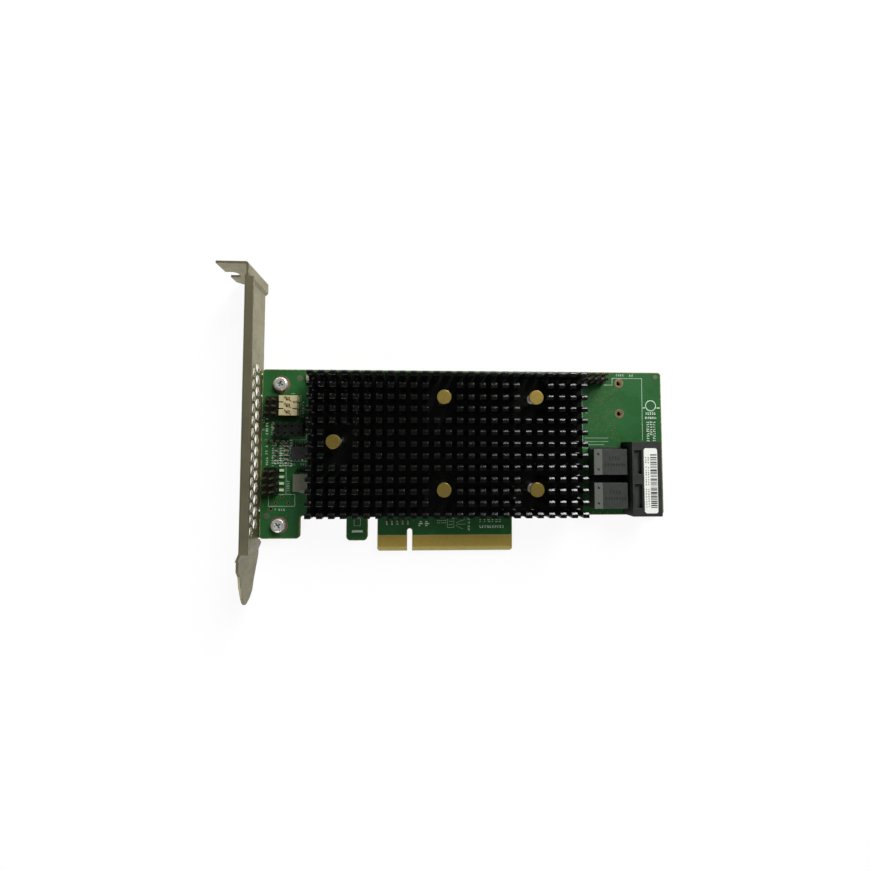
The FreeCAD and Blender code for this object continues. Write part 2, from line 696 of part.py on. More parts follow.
def make_heat_sink():
    """An extrusion of tall ribs, cross-cut into square pins, milled clear at the push pins."""
    body = new_body("heat_sink")
    columns = count("fin_columns")
    rows = count("fin_rows")
    along = size("fin_pitch_along")
    across = size("fin_pitch_across")
    middle_x = (sink_left + sink_right) / 2
    middle_y = (sink_low + sink_high) / 2
    fins_left = middle_x - along * ((columns - 1) / 2) - size("fin_length") / 2
    fins_low = middle_y - across * ((rows - 1) / 2) - size("fin_width") / 2
    fins_right = middle_x + along * ((columns - 1) / 2) + size("fin_length") / 2
    fins_high = middle_y + across * ((rows - 1) / 2) + size("fin_width") / 2

    base = new_sketch(body, "sink_base_outline", "XY_Plane", sink_under)
    rectangle(base, sink_left, sink_low, sink_right, sink_high)
    pad(body, "sink_base_pad", base, size("sink_base"))
    ribs = new_sketch(body, "sink_rib_block", "XY_Plane", sink_floor)
    rectangle(ribs, fins_left, fins_low, fins_right, fins_high)
    pad(body, "sink_rib_pad", ribs, size("fin_rise"))

    channel = new_sketch(body, "long_channel", "XZ_Plane", -middle_y)
    first_gap = fins_left + size("fin_length")
    rectangle(channel, first_gap, sink_floor, first_gap + along - size("fin_length"),
              sink_top + 1)
    channel_cut = pocket(body, "long_channel_cut", channel, size("sink_width") + 2,
                         both_ways=True)
    repeat(body, "long_channels", channel_cut, "X_Axis", along, columns - 1)

    # Each cross cut also takes the bevel off the top edge of the pins below it.
    cross = new_sketch(body, "cross_cut", "YZ_Plane", middle_x)
    start = fins_low + size("fin_width")
    wide = across - size("fin_width")
    bevel = size("fin_bevel")
    outline(cross, [
        (start, sink_floor), (start + wide, sink_floor), (start + wide, sink_top + bevel),
        (start - bevel * 2, sink_top + bevel), (start, sink_top - bevel),
    ])
    cross_cut = pocket(body, "cross_cut_cut", cross, size("sink_length") + 2, both_ways=True)
    repeat(body, "cross_cuts", cross_cut, "Y_Axis", across, rows)

    clear = new_sketch(body, "pin_clearings", "XY_Plane", sink_top + 1)
    for x, y in push_pin_places:
        column = round((x - fins_left - size("fin_length") / 2).number / along.number - 0.3)
        line = round((y - fins_low - size("fin_width") / 2).number / across.number)
        low_x = fins_left + along * column - (along - size("fin_length")) / 2
        low_y = fins_low + across * (line - 1) - (across - size("fin_width")) / 2
        rectangle(clear, low_x, low_y, low_x + along * 2, low_y + across * 3)
    pocket(body, "pin_clearings_cut", clear, size("fin_rise") + 1)

    bores = new_sketch(body, "sink_bores", "XY_Plane", sink_floor + 1)
    for x, y in push_pin_places:
        circle(bores, x, y, size("pin_shank") / 2 + size("pin_clearance"))
    pocket(body, "sink_bores_cut", bores, size("sink_base") + 2)


def make_push_pins():
    """Brass push pins: a flat head, a shank and a split barb that snaps through the board."""
    pins = []
    head = size("pin_head") / 2
    shank = size("pin_shank") / 2
    barb = size("pin_barb") / 2
    head_low = size("pin_top") - size("pin_head_rise")
    catch = under - size("plating")
    tip = catch - size("pin_barb_drop")
    for number, (x, y) in enumerate(push_pin_places, start=1):
        profile = doc.addObject("Sketcher::SketchObject", f"push_pin_profile_{number}")
        profile.Placement = FreeCAD.Placement(
            FreeCAD.Vector(0, 0, 0), FreeCAD.Rotation(FreeCAD.Vector(1, 0, 0), 90))
        outline(profile, [
            (0, tip), (shank * 0.7, tip), (barb, catch), (shank, catch), (shank, head_low),
            (head, head_low), (head, size("pin_top")), (0, size("pin_top")),
        ])
        turned = doc.addObject("Part::Revolution", f"push_pin_turned_{number}")
        turned.Source = profile
        turned.Axis = FreeCAD.Vector(0, 0, 1)
        turned.Angle = 360
        turned.Solid = True
        place(turned, x, y, 0)
        slot = box(f"push_pin_slot_{number}",
                   (x - size("pin_slot") / 2, y - size("pin_barb"), tip - 1),
                   (size("pin_slot"), size("pin_barb") * 2, size("pin_barb_drop") + 1.6))
        pins.append(without(f"push_pin_{number}", turned, slot))
    sub_part(group("push_pins", pins), "push_pins")


def coil_solid(low, high, mean_radius, wire, turns, steps):
    """A closed coil of square wire, made of flat facets between its four corner lines."""
    climb = high - low - wire
    rings = []
    for step in range(turns * steps + 1):
        angle = 2 * math.pi * step / steps
        rise = low + wire / 2 + climb * step / (turns * steps)
        ring = []
        for out, up in ((-1, -1), (1, -1), (1, 1), (-1, 1)):
            radius = mean_radius + out * wire / 2
            ring.append(FreeCAD.Vector(radius * math.cos(angle), radius * math.sin(angle),
                                       rise + up * wire / 2))
        rings.append(ring)
    faces = [Part.Face(Part.makePolygon(rings[0] + rings[0][:1])),
             Part.Face(Part.makePolygon(rings[-1] + rings[-1][:1]))]
    for near, far in zip(rings, rings[1:]):
        for side in range(4):
            following = (side + 1) % 4
            for corners in ((near[side], near[following], far[following]),
                            (near[side], far[following], far[side])):
                faces.append(Part.Face(Part.makePolygon(list(corners) + [corners[0]])))
    solid = Part.makeSolid(Part.makeShell(faces))
    if solid.Volume < 0:
        solid.reverse()
    return solid


def make_springs():
    """Compression springs between the heat sink and the push pins' heads."""
    wire = size("spring_wire").number
    gap = size("spring_gap").number
    low = sink_floor.number + gap
    high = (size("pin_top") - size("pin_head_rise")).number - gap
    coil = coil_solid(low, high, size("spring_inner").number + wire / 2, wire,
                      count("spring_turns"), count("spring_steps"))
    springs = []
    for x, y in push_pin_places:
        one = coil.copy()
        one.translate(FreeCAD.Vector(x.number, y.number, 0))
        springs.append(one)
    feature = doc.addObject("Part::Feature", "push_pin_springs")
    feature.Shape = Part.makeCompound(springs)
    sub_part(feature, "push_pin_springs")


def make_controller():
    """The controller under the heat sink: its carrier board, metal lid and thermal pad."""
    for label, side, low, rise in (
            ("controller_carrier", size("chip_side"), 0, size("chip_board")),
            ("controller_lid", size("lid_side"), size("chip_board"), size("lid_rise"))):
        sub_part(box(label, (chip_x - side / 2, chip_y - side / 2, low),
                     (side, side, rise)), label)
    lid_top = size("chip_board") + size("lid_rise")
    side = size("pad_side")
    sub_part(box("thermal_pad", (chip_x - side / 2, chip_y - side / 2, lid_top),
                 (side, side, sink_under - lid_top)), "thermal_pad")


# ---- cable ports -------------------------------------------------------------------------

def make_port_housing():
    """One moulded shroud with two mouths, latch windows and a floor behind it."""
    body = new_body("port_housing")
    shell = new_sketch(body, "shroud_outline")
    rectangle(shell, port_left, port_low, port_right, port_high)
    pad(body, "shroud_pad", shell, size("port_rise"))

    mouth_low = size("port_floor")
    mouth_high = mouth_low + size("mouth_rise")
    mouths = new_sketch(body, "mouths", "YZ_Plane", port_right + 1)
    for y in port_centres:
        rectangle(mouths, y - size("mouth_width") / 2, mouth_low,
                  y + size("mouth_width") / 2, mouth_high)
    pocket(body, "mouths_cut", mouths, size("port_length") + 2)

    windows = new_sketch(body, "latch_windows", "XY_Plane", size("port_rise") + 1)
    back = port_left + size("window_back")
    for y in port_centres:
        rectangle(windows, back, y - size("window_width") / 2, back + size("window_length"),
                  y + size("window_width") / 2)
    pocket(body, "latch_windows_cut", windows, size("port_rise") - mouth_high + 1.5)

    floor = new_sketch(body, "rear_floor")
    rear = port_left - size("tail_step") - size("tail_block_length") - size("strip_length")
    rectangle(floor, rear + size("floor_margin"),
              port_centres[0] - size("tail_block_width") / 2 + size("floor_margin") / 2,
              port_left + 0.5,
              port_centres[1] + size("tail_block_width") / 2 + size("floor_margin"))
    pad(body, "rear_floor_pad", floor, size("port_floor"))

    pegs = new_sketch(body, "board_pegs")
    for x, y in peg_places:
        circle(pegs, x, y, size("peg_radius"))
    pad(body, "board_pegs_pad", pegs, size("peg_drop"), backwards=True)

    bevel_edges(body, "mouth_flare", [
        (port_right, port_low, None), (port_right, port_high, None),
        (port_right, None, size("port_rise")),
    ], size("mouth_flare"))


def make_port_block(label, y):
    """The stack of contact wafers behind one mouth, with the core that the plug goes over."""
    body = new_body(label)
    back = port_left - size("tail_step") - size("tail_block_length")
    floor = size("port_floor")
    half = size("tail_block_width") / 2
    step_top = floor + size("mouth_rise") - size("core_gap")
    block = new_sketch(body, f"{label}_side", "XZ_Plane", -(y - half))
    outline(block, [
        (back, floor), (port_left, floor), (port_left, step_top * 0.62),
        (port_left - size("tail_step"), step_top * 0.62),
        (port_left - size("tail_step"), size("tail_block_rise")),
        (back, size("tail_block_rise")),
    ])
    pad(body, f"{label}_block", block, half * 2, backwards=True)

    core_low = floor + size("core_gap")
    core_high = step_top
    core_half = size("mouth_width") / 2 - size("core_gap")
    core = new_sketch(body, f"{label}_core_outline", "YZ_Plane", port_left)
    rectangle(core, y - core_half, core_low, y + core_half, core_high)
    pad(body, f"{label}_core", core, size("core_depth"))

    slots = new_sketch(body, f"{label}_card_slots", "YZ_Plane", port_left + size("core_depth") + 1)
    inset = size("core_slot_inset")
    for share in (0.28, 0.72):
        z = core_low + (core_high - core_low) * share
        rectangle(slots, y - core_half + inset, z - size("core_slot") / 2,
                  y + core_half - inset, z + size("core_slot") / 2)
    pocket(body, f"{label}_card_slots_cut", slots, size("core_slot_depth") + 1)


def make_port_strip(label, y):
    """The pale bar that ties the wafers together at their rear."""
    back = port_left - size("tail_step") - size("tail_block_length") - size("strip_length")
    bar = box(f"{label}_bar", (back, y - size("tail_block_width") / 2, size("port_floor")),
              (size("strip_length"), size("tail_block_width"),
               size("tail_block_rise") - size("port_floor")))
    dimple = size("strip_dimple")
    dimples = []
    for share in (0.2, 0.8):
        dimples.append(box(f"{label}_dimple_{len(dimples) + 1}",
                           (back + (size("strip_length") - dimple) / 2,
                            y + size("tail_block_width") * (share - 0.5) - dimple / 2,
                            size("tail_block_rise") - dimple / 2),
                           (dimple, dimple, dimple)))
    sub_part(without(label, bar, group(f"{label}_dimples", dimples)), label)


def make_port_contacts():
    """Gold contact leaves along both faces of every card slot."""
    leaves = []
    core_low = size("port_floor") + size("core_gap")
    core_high = size("port_floor") + size("mouth_rise") - size("core_gap")
    tip = port_left + size("core_depth")
    start = tip - size("core_slot_depth")
    width = size("lead_width")
    leaf = size("core_slot") * 0.22
    for port, y in enumerate(port_centres, start=1):
        for row, share in enumerate((0.28, 0.72), start=1):
            z = core_low + (core_high - core_low) * share - size("core_slot") / 2
            for index in range(count("leads_per_row")):
                x_y = y + size("lead_pitch") * (index - (count("leads_per_row") - 1) / 2)
                leaves.append(box(f"leaf_{port}_{row}_{index}", (start, x_y - width / 2, z),
                                  (size("core_slot_depth") - 0.4, width, leaf)))
    sub_part(group("port_contacts", leaves), "port_contacts")


def make_label():
    body = new_body("barcode_label")
    low_x = right - size("label_from_right")
    high_x = low_x + size("label_length")
    low_y = size("label_low")
    high_y = low_y + size("label_width")
    paper = new_sketch(body, "label_outline", "XY_Plane", size("port_rise"))
    rectangle(paper, low_x, low_y, high_x, high_y)
    pad(body, "label_pad", paper, size("label_skin"))
    round_edges(body, "label_corners", [
        (low_x, low_y, None), (low_x, high_y, None), (high_x, low_y, None),
        (high_x, high_y, None)], size("label_round"))


# ---- headers -----------------------------------------------------------------------------

def make_header(label, columns, rows, pitch_x, pitch_y, rise):
    """A header's plastic: one cell for each column, notched between cells, open at posts."""
    body = new_body(label)
    places = header_posts[label]
    low_x = places[0][0] - pitch_x / 2
    low_y = places[0][1] - pitch_y / 2
    notch = size("cell_notch")
    along_x = columns >= rows
    cells = columns if along_x else rows
    step = pitch_x if along_x else pitch_y
    depth = pitch_y * rows if along_x else pitch_x * columns
    near = []
    far = []
    for cell in range(cells):
        start = step * cell
        near += [(start + (notch if cell == 0 else 0), 0 if cell == 0 else notch)]
        if cell > 0:
            near += [(start + notch, 0)]
        near += [(start + step - notch, 0)]
        far += [(start + (notch if cell == 0 else 0), depth if cell == 0 else depth - notch)]
        if cell > 0:
            far += [(start + notch, depth)]
        far += [(start + step - notch, depth)]
    end = step * cells
    corners = near + [(end, notch), (end, depth - notch)] + far[::-1]
    corners += [(0, depth - notch), (0, notch)]
    if along_x:
        corners = [(low_x + u, low_y + v) for u, v in corners]
    else:
        corners = [(low_x + v, low_y + u) for u, v in corners]
    plan = new_sketch(body, f"{label}_plan")
    outline(plan, corners)
    half = size("post_width") / 2 + size("post_gap")
    for x, y in places:
        rectangle(plan, x - half, y - half, x + half, y + half)
    pad(body, f"{label}_pad", plan, rise)


def make_posts(header, post_top):
    """Square posts, from their solder tails under the board to their tips."""
    label = f"{header}_posts"
    half = size("post_width") / 2
    tail = under - size("tail_drop")
    posts = []
    for number, (x, y) in enumerate(header_posts[header], start=1):
        posts.append(box(f"{label}_{number}", (x - half, y - half, tail),
                         (half * 2, half * 2, as_size(post_top) - tail)))
    sub_part(group(label, posts), label)


def make_cream_socket():
    """A pale three-way socket: a block split by short slots, with a window over each way."""
    body = new_body("cream_socket")
    x = left + size("cream_from_left")
    low_x = x - size("cream_length") / 2
    high_x = x + size("cream_length") / 2
    y = size("cream_centre")
    low_y = y - size("cream_width") / 2
    high_y = y + size("cream_width") / 2
    block = new_sketch(body, "cream_plan")
    rectangle(block, low_x, low_y, high_x, high_y)
    pad(body, "cream_block", block, size("cream_rise"))
    slots = new_sketch(body, "cream_slots", "XY_Plane", size("cream_rise") + 1)
    inset = size("cream_slot_inset")
    half = size("cream_slot_width") / 2
    way = size("cream_width") / 3
    for line in (-0.5, 0.5):
        middle = y + way * line
        rectangle(slots, low_x - 1, middle - half, low_x + inset, middle + half)
        rectangle(slots, high_x - inset, middle - half, high_x + 1, middle + half)
    pocket(body, "cream_slots_cut", slots, size("cream_rise") + 2)
    windows = new_sketch(body, "cream_windows", "XY_Plane", size("cream_rise") + 1)
    reach = size("cream_window") / 2
    for line in (-1, 0, 1):
        middle = y + way * line
        rectangle(windows, x - reach, middle - reach * 0.8, x + reach, middle + reach * 0.8)
    pocket(body, "cream_windows_cut", windows, size("cream_window_depth") + 1)


def make_cream_contacts():
    x = left + size("cream_from_left")
    y = size("cream_centre")
    way = size("cream_width") / 3
    side = size("cream_window") * 0.55
    floor = size("cream_rise") - size("cream_window_depth")
    prongs = []
    for number, line in enumerate((-1, 0, 1), start=1):
        prongs.append(box(f"cream_prong_{number}", (x - side / 2, y + way * line - side / 2, floor),
                          (side, side, size("cream_window_depth") - 0.5)))
    sub_part(group("cream_socket_contacts", prongs), "cream_socket_contacts")


# ---- chips and small parts ---------------------------------------------------------------

def make_flash():
    x = left + size("flash_from_left")
    y = size("flash_low")
    lift = size("flash_lift")
    sub_part(box("flash_chip", (x, y, lift),
                 (size("flash_length"), size("flash_width"), size("flash_rise") - lift)),
             "flash_chip")
    leads = []
    step = size("lead_pitch_small")
    first = x + size("flash_length") / 2 - step * 1.5
    reach = size("lead_reach")
    skin = size("lead_skin")
    for index in range(4):
        for side, low in (("low", y - reach), ("high", y + size("flash_width"))):
            foot = box(f"flash_foot_{side}_{index}", (first + step * index - skin, low, 0),
                       (skin * 2, reach, skin))
            if side == "low":
                rise_y = y - skin
            else:
                rise_y = y + size("flash_width")
            riser = box(f"flash_riser_{side}_{index}",
                        (first + step * index - skin, rise_y, 0),
                        (skin * 2, skin, size("flash_rise") / 2))
            leads.append(joined(f"flash_lead_{side}_{index}", [foot, riser]))
    sub_part(group("flash_chip_leads", leads), "flash_chip_leads")


def make_coil():
    """The moulded power inductor, whose two wide tabs fold down its ends."""
    x = left + size("coil_from_left")
    y = size("coil_low")
    core = box("coil_block", (x, y, 0), (size("coil_length"), size("coil_width"),
                                        size("coil_rise")))
    bevelled = doc.addObject("Part::Chamfer", "power_inductor")
    bevelled.Base = core
    core.recompute()
    names = edges_through(core.Shape, [(x, None, size("coil_rise")), (None, y, size("coil_rise"))])
    bevelled.Edges = [(int(name[4:]), 0.3, 0.3) for name in names]
    sub_part(bevelled, "power_inductor")
    tabs = []
    tab_x = x + (size("coil_length") - size("coil_tab")) / 2
    reach = size("coil_tab_reach")
    for side, low in (("low", y - reach), ("high", y + size("coil_width"))):
        tabs.append(box(f"coil_tab_{side}", (tab_x, low, 0),
                        (size("coil_tab"), reach, size("coil_rise") * 0.6)))
    sub_part(group("power_inductor_tabs", tabs), "power_inductor_tabs")


def make_lamps():
    lamps = []
    for index in range(count("lamp_count")):
        x = left + size("lamp_from_left")
        y = size("lamp_low") + size("lamp_pitch") * index
        lamps.append(box(f"lamp_{index + 1}",
                         (x - size("lamp_length") / 2, y - size("lamp_width") / 2, 0),
                         (size("lamp_length"), size("lamp_width"), size("lamp_rise"))))
    sub_part(group("status_lamps", lamps), "status_lamps")


small_parts = {"ceramic_capacitors": [], "chip_resistors": []}


def add_small_part(kind, x, y, upright=False, scale=1.0, below=False):
    """One surface part, lying along the card or, if upright, across it."""
    name = f"{kind}_{len(small_parts[kind]) + 1}"
    span = size("small_length") * scale
    width = size("small_width") * scale
    rise = size("small_rise") * scale
    if kind == "chip_resistors":
        rise = rise * 0.6
    low_z = under - rise if below else as_size(0)
    across, along = (width, span) if upright else (span, width)
    small_parts[kind].append(
        box(name, (x - across / 2, y - along / 2, low_z), (across, along, rise)))


def make_small_parts():
    """Capacitors and resistors near the pieces that they serve."""
    wide_step = size("small_length") * 1.35
    tall_step = size("small_width") * 2.1
    ribbed_low = size("ribbed_centre") - pitch
    # A row under the ribbed header, and a column beside the flash chip.
    for index in range(4):
        add_small_part("chip_resistors", left + size("flash_from_left") - wide_step * (index + 1),
                       ribbed_low - tall_step)
        add_small_part("ceramic_capacitors", left + size("lamp_from_left") + wide_step * 0.75,
                       size("flash_low") + tall_step * index, scale=0.9)
    for index in range(3):
        add_small_part("chip_resistors", left + size("lamp_from_left") - wide_step,
                       size("flash_low") + tall_step * (index + 0.4), scale=0.8)
        add_small_part("ceramic_capacitors", left + size("status_from_left") + 0.4,
                       ribbed_low + tall_step * index + 1.4, scale=0.6)
    # Pairs in line with the edge connector's first contacts.
    for index in range(5):
        add_small_part("ceramic_capacitors", edge_left + 3.6 + size("contact_pitch") * 2 * index,
                       lower_edge - 2.6, upright=True, scale=0.75)
    add_small_part("ceramic_capacitors", left + size("corner_part_from_left"),
                   size("corner_part_height"), upright=True, scale=1.5)
    # Under the controller, on the back of the board.
    for column in range(4):
        for line in range(3):
            add_small_part("ceramic_capacitors", chip_x + size("chip_side") * (column - 1.5) / 5,
                           chip_y + size("chip_side") * (line - 1) / 4, below=True)
    for kind, parts in small_parts.items():
        sub_part(group(kind, parts), kind)


# ---- build -------------------------------------------------------------------------------

make_board()
make_contacts("edge_contacts_front", as_size(0))
make_contacts("edge_contacts_back", under - size("contact_skin"))
make_bracket()
make_screws()
make_push_pins()
make_springs()
make_controller()
make_port_housing()
for port_name, port_y in zip(("lower", "upper"), port_centres):
    make_port_block(f"{port_name}_port_block", port_y)
    make_port_strip(f"{port_name}_port_strip", port_y)
make_port_contacts()
make_label()
make_header("status_header", 2, 3, pitch, pitch, size("status_base"))
make_header("lower_header", 2, 4, pitch, pitch, size("status_base"))
make_header("ribbed_header", 4, 2, pitch, pitch, size("ribbed_base"))
make_header("debug_header", 4, 2, pitch, size("debug_pitch_across"), size("debug_base"))
make_posts("status_header", size("status_posts"))
make_posts("lower_header", size("status_posts"))
make_posts("ribbed_header", size("ribbed_posts"))
make_posts("debug_header", size("debug_posts"))
make_cream_socket()
make_cream_contacts()
make_flash()
make_coil()
make_lamps()
make_small_parts()
make_heat_sink()
doc.recompute()

for item in doc.Objects:
    if "Invalid" in item.State or "Error" in item.State:
        raise RuntimeError(f"{item.Label} failed: {item.State}")
for cut in cuts:
    if cut.Shape.Volume >= cut.BaseFeature.Shape.Volume:
        raise RuntimeError(f"{cut.Label} cuts nothing")

os.makedirs("parts", exist_ok=True)
for item in nodes:
    if item.Shape.isNull() or not item.Shape.isValid():
        raise RuntimeError(f"{item.Label} has no valid shape")
    item.Shape.exportStep(f"parts/{item.Label}.step")
    print(f"{item.Label}: {len(item.Shape.Solids)} solids, {item.Shape.Volume:.1f} mm3")
print(len(nodes), "sub-parts")
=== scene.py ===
import json
import math
import random

import bmesh
import bpy
from mathutils import Euler, Matrix, Vector


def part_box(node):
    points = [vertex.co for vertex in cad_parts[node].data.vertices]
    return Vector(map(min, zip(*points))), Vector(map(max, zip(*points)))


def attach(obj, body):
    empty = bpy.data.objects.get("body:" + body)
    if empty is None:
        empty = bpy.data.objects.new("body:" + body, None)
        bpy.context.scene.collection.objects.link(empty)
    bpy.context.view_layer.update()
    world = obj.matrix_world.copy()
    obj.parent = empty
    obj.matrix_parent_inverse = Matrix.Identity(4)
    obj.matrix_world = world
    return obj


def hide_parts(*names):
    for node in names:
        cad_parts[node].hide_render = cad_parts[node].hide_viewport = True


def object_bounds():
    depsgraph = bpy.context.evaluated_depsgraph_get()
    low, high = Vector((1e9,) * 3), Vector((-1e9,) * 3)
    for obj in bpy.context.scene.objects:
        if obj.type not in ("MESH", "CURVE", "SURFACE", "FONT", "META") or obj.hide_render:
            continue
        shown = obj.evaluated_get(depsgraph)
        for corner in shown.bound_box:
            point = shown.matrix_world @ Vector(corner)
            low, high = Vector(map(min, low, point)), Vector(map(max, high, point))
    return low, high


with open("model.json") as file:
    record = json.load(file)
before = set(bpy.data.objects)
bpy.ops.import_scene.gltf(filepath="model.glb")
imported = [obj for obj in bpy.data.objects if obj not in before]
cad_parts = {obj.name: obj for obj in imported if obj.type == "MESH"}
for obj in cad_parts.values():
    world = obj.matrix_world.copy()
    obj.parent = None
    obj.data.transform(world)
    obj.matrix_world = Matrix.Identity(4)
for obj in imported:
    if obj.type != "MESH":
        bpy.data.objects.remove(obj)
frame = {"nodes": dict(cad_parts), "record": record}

mm = 0.001
nodes = frame["nodes"]
cadBounds = [list(corner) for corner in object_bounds()]
scene = bpy.context.scene
print("card loaded with", len(nodes), "nodes")


# Small helpers for placing and shaping pieces. Lengths given to them are millimetres.

def low(name):
    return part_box(name)[0] / mm


def high(name):
    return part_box(name)[1] / mm


boardLow = low("circuit_board")
boardHigh = high("circuit_board")
boardLeft = boardLow.x
boardUnder = boardLow.z
weldDistance = 1e-7  # metres, far below the smallest real gap
upright = 0.99  # a face whose normal rises past this counts as a top


def deselectAll():
    bpy.ops.object.select_all(action="DESELECT")


def pick(piece):
    deselectAll()
    piece.select_set(True)
    bpy.context.view_layer.objects.active = piece


# Puts a piece's place into its mesh, so that its object sits at the origin.
def settle(piece, name):
    piece.name = piece.data.name = name
    pick(piece)
    bpy.ops.object.transform_apply(location=True, rotation=True, scale=True)
    return piece


# A block between two corners, as a start for a piece.
def block(name, lowest, highest):
    deselectAll()
    middle = [(a + b) / 2 * mm for a, b in zip(lowest, highest)]
    bpy.ops.mesh.primitive_cube_add(size=1, location=middle)
    bpy.context.object.scale = [(b - a) * mm for a, b in zip(lowest, highest)]
    return settle(bpy.context.object, name)


# An upright rod whose middle is at centre.
def rod(name, centre, radius, depth, sides=48):
    deselectAll()
    bpy.ops.mesh.primitive_cylinder_add(vertices=sides, radius=radius * mm, depth=depth * mm,
                                        location=[c * mm for c in centre])
    return settle(bpy.context.object, name)


def startEdit(piece, kind="FACE", action="SELECT"):
    pick(piece)
    bpy.ops.object.mode_set(mode="EDIT")
    bpy.ops.mesh.select_mode(type=kind)
    bpy.ops.mesh.select_all(action=action)


# Selects the faces (or edges) that pass the test, and stays in edit mode.
def selectWhere(piece, test, kind="FACE"):
    startEdit(piece, kind, "DESELECT")
    shape = bmesh.from_edit_mesh(piece.data)
    for part in (shape.faces if kind == "FACE" else shape.edges):
        if test(part):
            part.select_set(True)
    shape.select_flush(True)
    bmesh.update_edit_mesh(piece.data)


def backToObject():
    bpy.ops.object.mode_set(mode="OBJECT")


# Steps the top face in by a thickness and up by a depth.
def insetTop(piece, thickness, depth):
    selectWhere(piece, lambda face: face.normal.z > upright)
    bpy.ops.mesh.inset(thickness=thickness * mm, depth=depth * mm)
    backToObject()


# Bevels the edges whose ends all pass the test. The offset is in metres.
def bevelWhere(piece, test, offset, segments, profile=0.5):
    selectWhere(piece, lambda edge: all(test(vertex.co) for vertex in edge.verts), "EDGE")
    bpy.ops.mesh.bevel(offset=offset, offset_type="OFFSET", segments=segments,
                       profile=profile, affect="EDGES")
    backToObject()


def turnOutward(piece):
    startEdit(piece)
    bpy.ops.mesh.normals_make_consistent(inside=False)
    backToObject()


def setAll(item, settings):
    for key, value in settings.items():
        setattr(item, key, value)
    return item


def applyModifier(piece, kind, **settings):
    pick(piece)
    modifier = setAll(piece.modifiers.new(kind.lower(), kind), settings)
    bpy.ops.object.modifier_apply(modifier=modifier.name)


def smooth(piece, degrees):
    pick(piece)
    bpy.ops.object.shade_smooth_by_angle(angle=math.radians(degrees))


def joinPieces(pieces, name):
    deselectAll()
    for piece in pieces:
        piece.select_set(True)
    bpy.context.view_layer.objects.active = pieces[0]
    if len(pieces) > 1:
        bpy.ops.object.join()
    piece = bpy.context.object
    piece.name = piece.data.name = name
    return piece


# Copies of one modelled shape, each with its own mesh, joined into one piece.
def stamp(template, name, places):
    copies = []
    for place in places:
        copy = template.copy()
        copy.data = template.data.copy()
        copy.data.transform(place)
        scene.collection.objects.link(copy)
        copies.append(copy)
    bpy.data.objects.remove(template)
    return joinPieces(copies, name)


# The lowest and highest corner of every separate solid in a node, in millimetres.
def solidBoxes(name):
    shape = bmesh.new()
    shape.from_mesh(nodes[name].data)
    bmesh.ops.remove_doubles(shape, verts=shape.verts, dist=weldDistance)
    boxes = []
    waiting = set(shape.verts)
    while waiting:
        group = [waiting.pop()]
        for vertex in group:
            for edge in vertex.link_edges:
                other = edge.other_vert(vertex)
                if other in waiting:
                    waiting.remove(other)
                    group.append(other)
        corners = [vertex.co / mm for vertex in group]
        boxes.append(([min(c[i] for c in corners) for i in range(3)],
                      [max(c[i] for c in corners) for i in range(3)]))
    shape.free()
    return sorted(boxes)


def centreOf(lowest, highest):
    return (lowest[0] + highest[0]) / 2, (lowest[1] + highest[1]) / 2


# Camera: its place and tilt, then the settings of its lens.
cameraSizes = {"place": (1.73, 39.0, 153.15), "tilt": (0.0459, -0.0361, 0.0038)}
cameraSettings = {"sensor_width": 36.0, "lens": 16.48, "shift_x": 0.00695, "shift_y": -0.00618,
                  "clip_start": 0.01, "clip_end": 10.0}
camera = bpy.data.objects.new("camera", setAll(bpy.data.cameras.new("camera"), cameraSettings))
scene.collection.objects.link(camera)
camera.matrix_world = Matrix.LocRotScale(Vector(cameraSizes["place"]) * mm,
                                         Euler(cameraSizes["tilt"], "ZYX"), None)
scene.camera = camera
scene.view_settings.view_transform = "Standard"
print("camera placed")


# Shader helpers. The first sets or links a node's inputs.
def plug(tree, node, sockets):
    for key, value in sockets.items():
        if isinstance(value, bpy.types.NodeSocket):
            tree.links.new(value, node.inputs[key])
        else:
            node.inputs[key].default_value = value
    return node


def addNode(tree, kind, sockets=None, **settings):
    made = setAll(tree.nodes.new("ShaderNode" + kind), settings)
    return plug(tree, made, sockets or {})


# One operation on its values; past two values it becomes a chain of nodes.
def calculate(tree, operation, *values):
    pair = dict(enumerate(values[:2]))
    result = addNode(tree, "Math", pair, operation=operation).outputs[0]
    for value in values[2:]:
        result = calculate(tree, operation, result, value)
    return result


def product(tree, *values):
    return calculate(tree, "MULTIPLY", *values)


def blend(tree, amount, first, second):
    return addNode(tree, "Mix", {0: amount, 6: first, 7: second}, data_type="RGBA").outputs[2]


# Turns a value between start and end into one between toLow and toHigh.
def between(tree, value, start, end, toLow=0.0, toHigh=1.0):
    return addNode(tree, "MapRange", {0: value, 1: start, 2: end, 3: toLow, 4: toHigh}).outputs[0]


def noise(tree, place, scale, detail=2.0, roughness=0.5):
    return addNode(tree, "TexNoise", {"Vector": place, "Scale": scale, "Detail": detail,
                                      "Roughness": roughness}).outputs[0]


def cellsOf(tree, place, scale, randomness=1.0):
    return addNode(tree, "TexVoronoi",
                   {"Vector": place, "Scale": scale, "Randomness": randomness}).outputs


def axesOf(tree, vector):
    return addNode(tree, "SeparateXYZ", {0: vector}).outputs


def stretched(tree, vector, amount):
    return addNode(tree, "VectorMath", {0: vector, 1: amount}, operation="MULTIPLY").outputs[0]


def normalAxes(tree):
    return axesOf(tree, addNode(tree, "NewGeometry").outputs["Normal"])


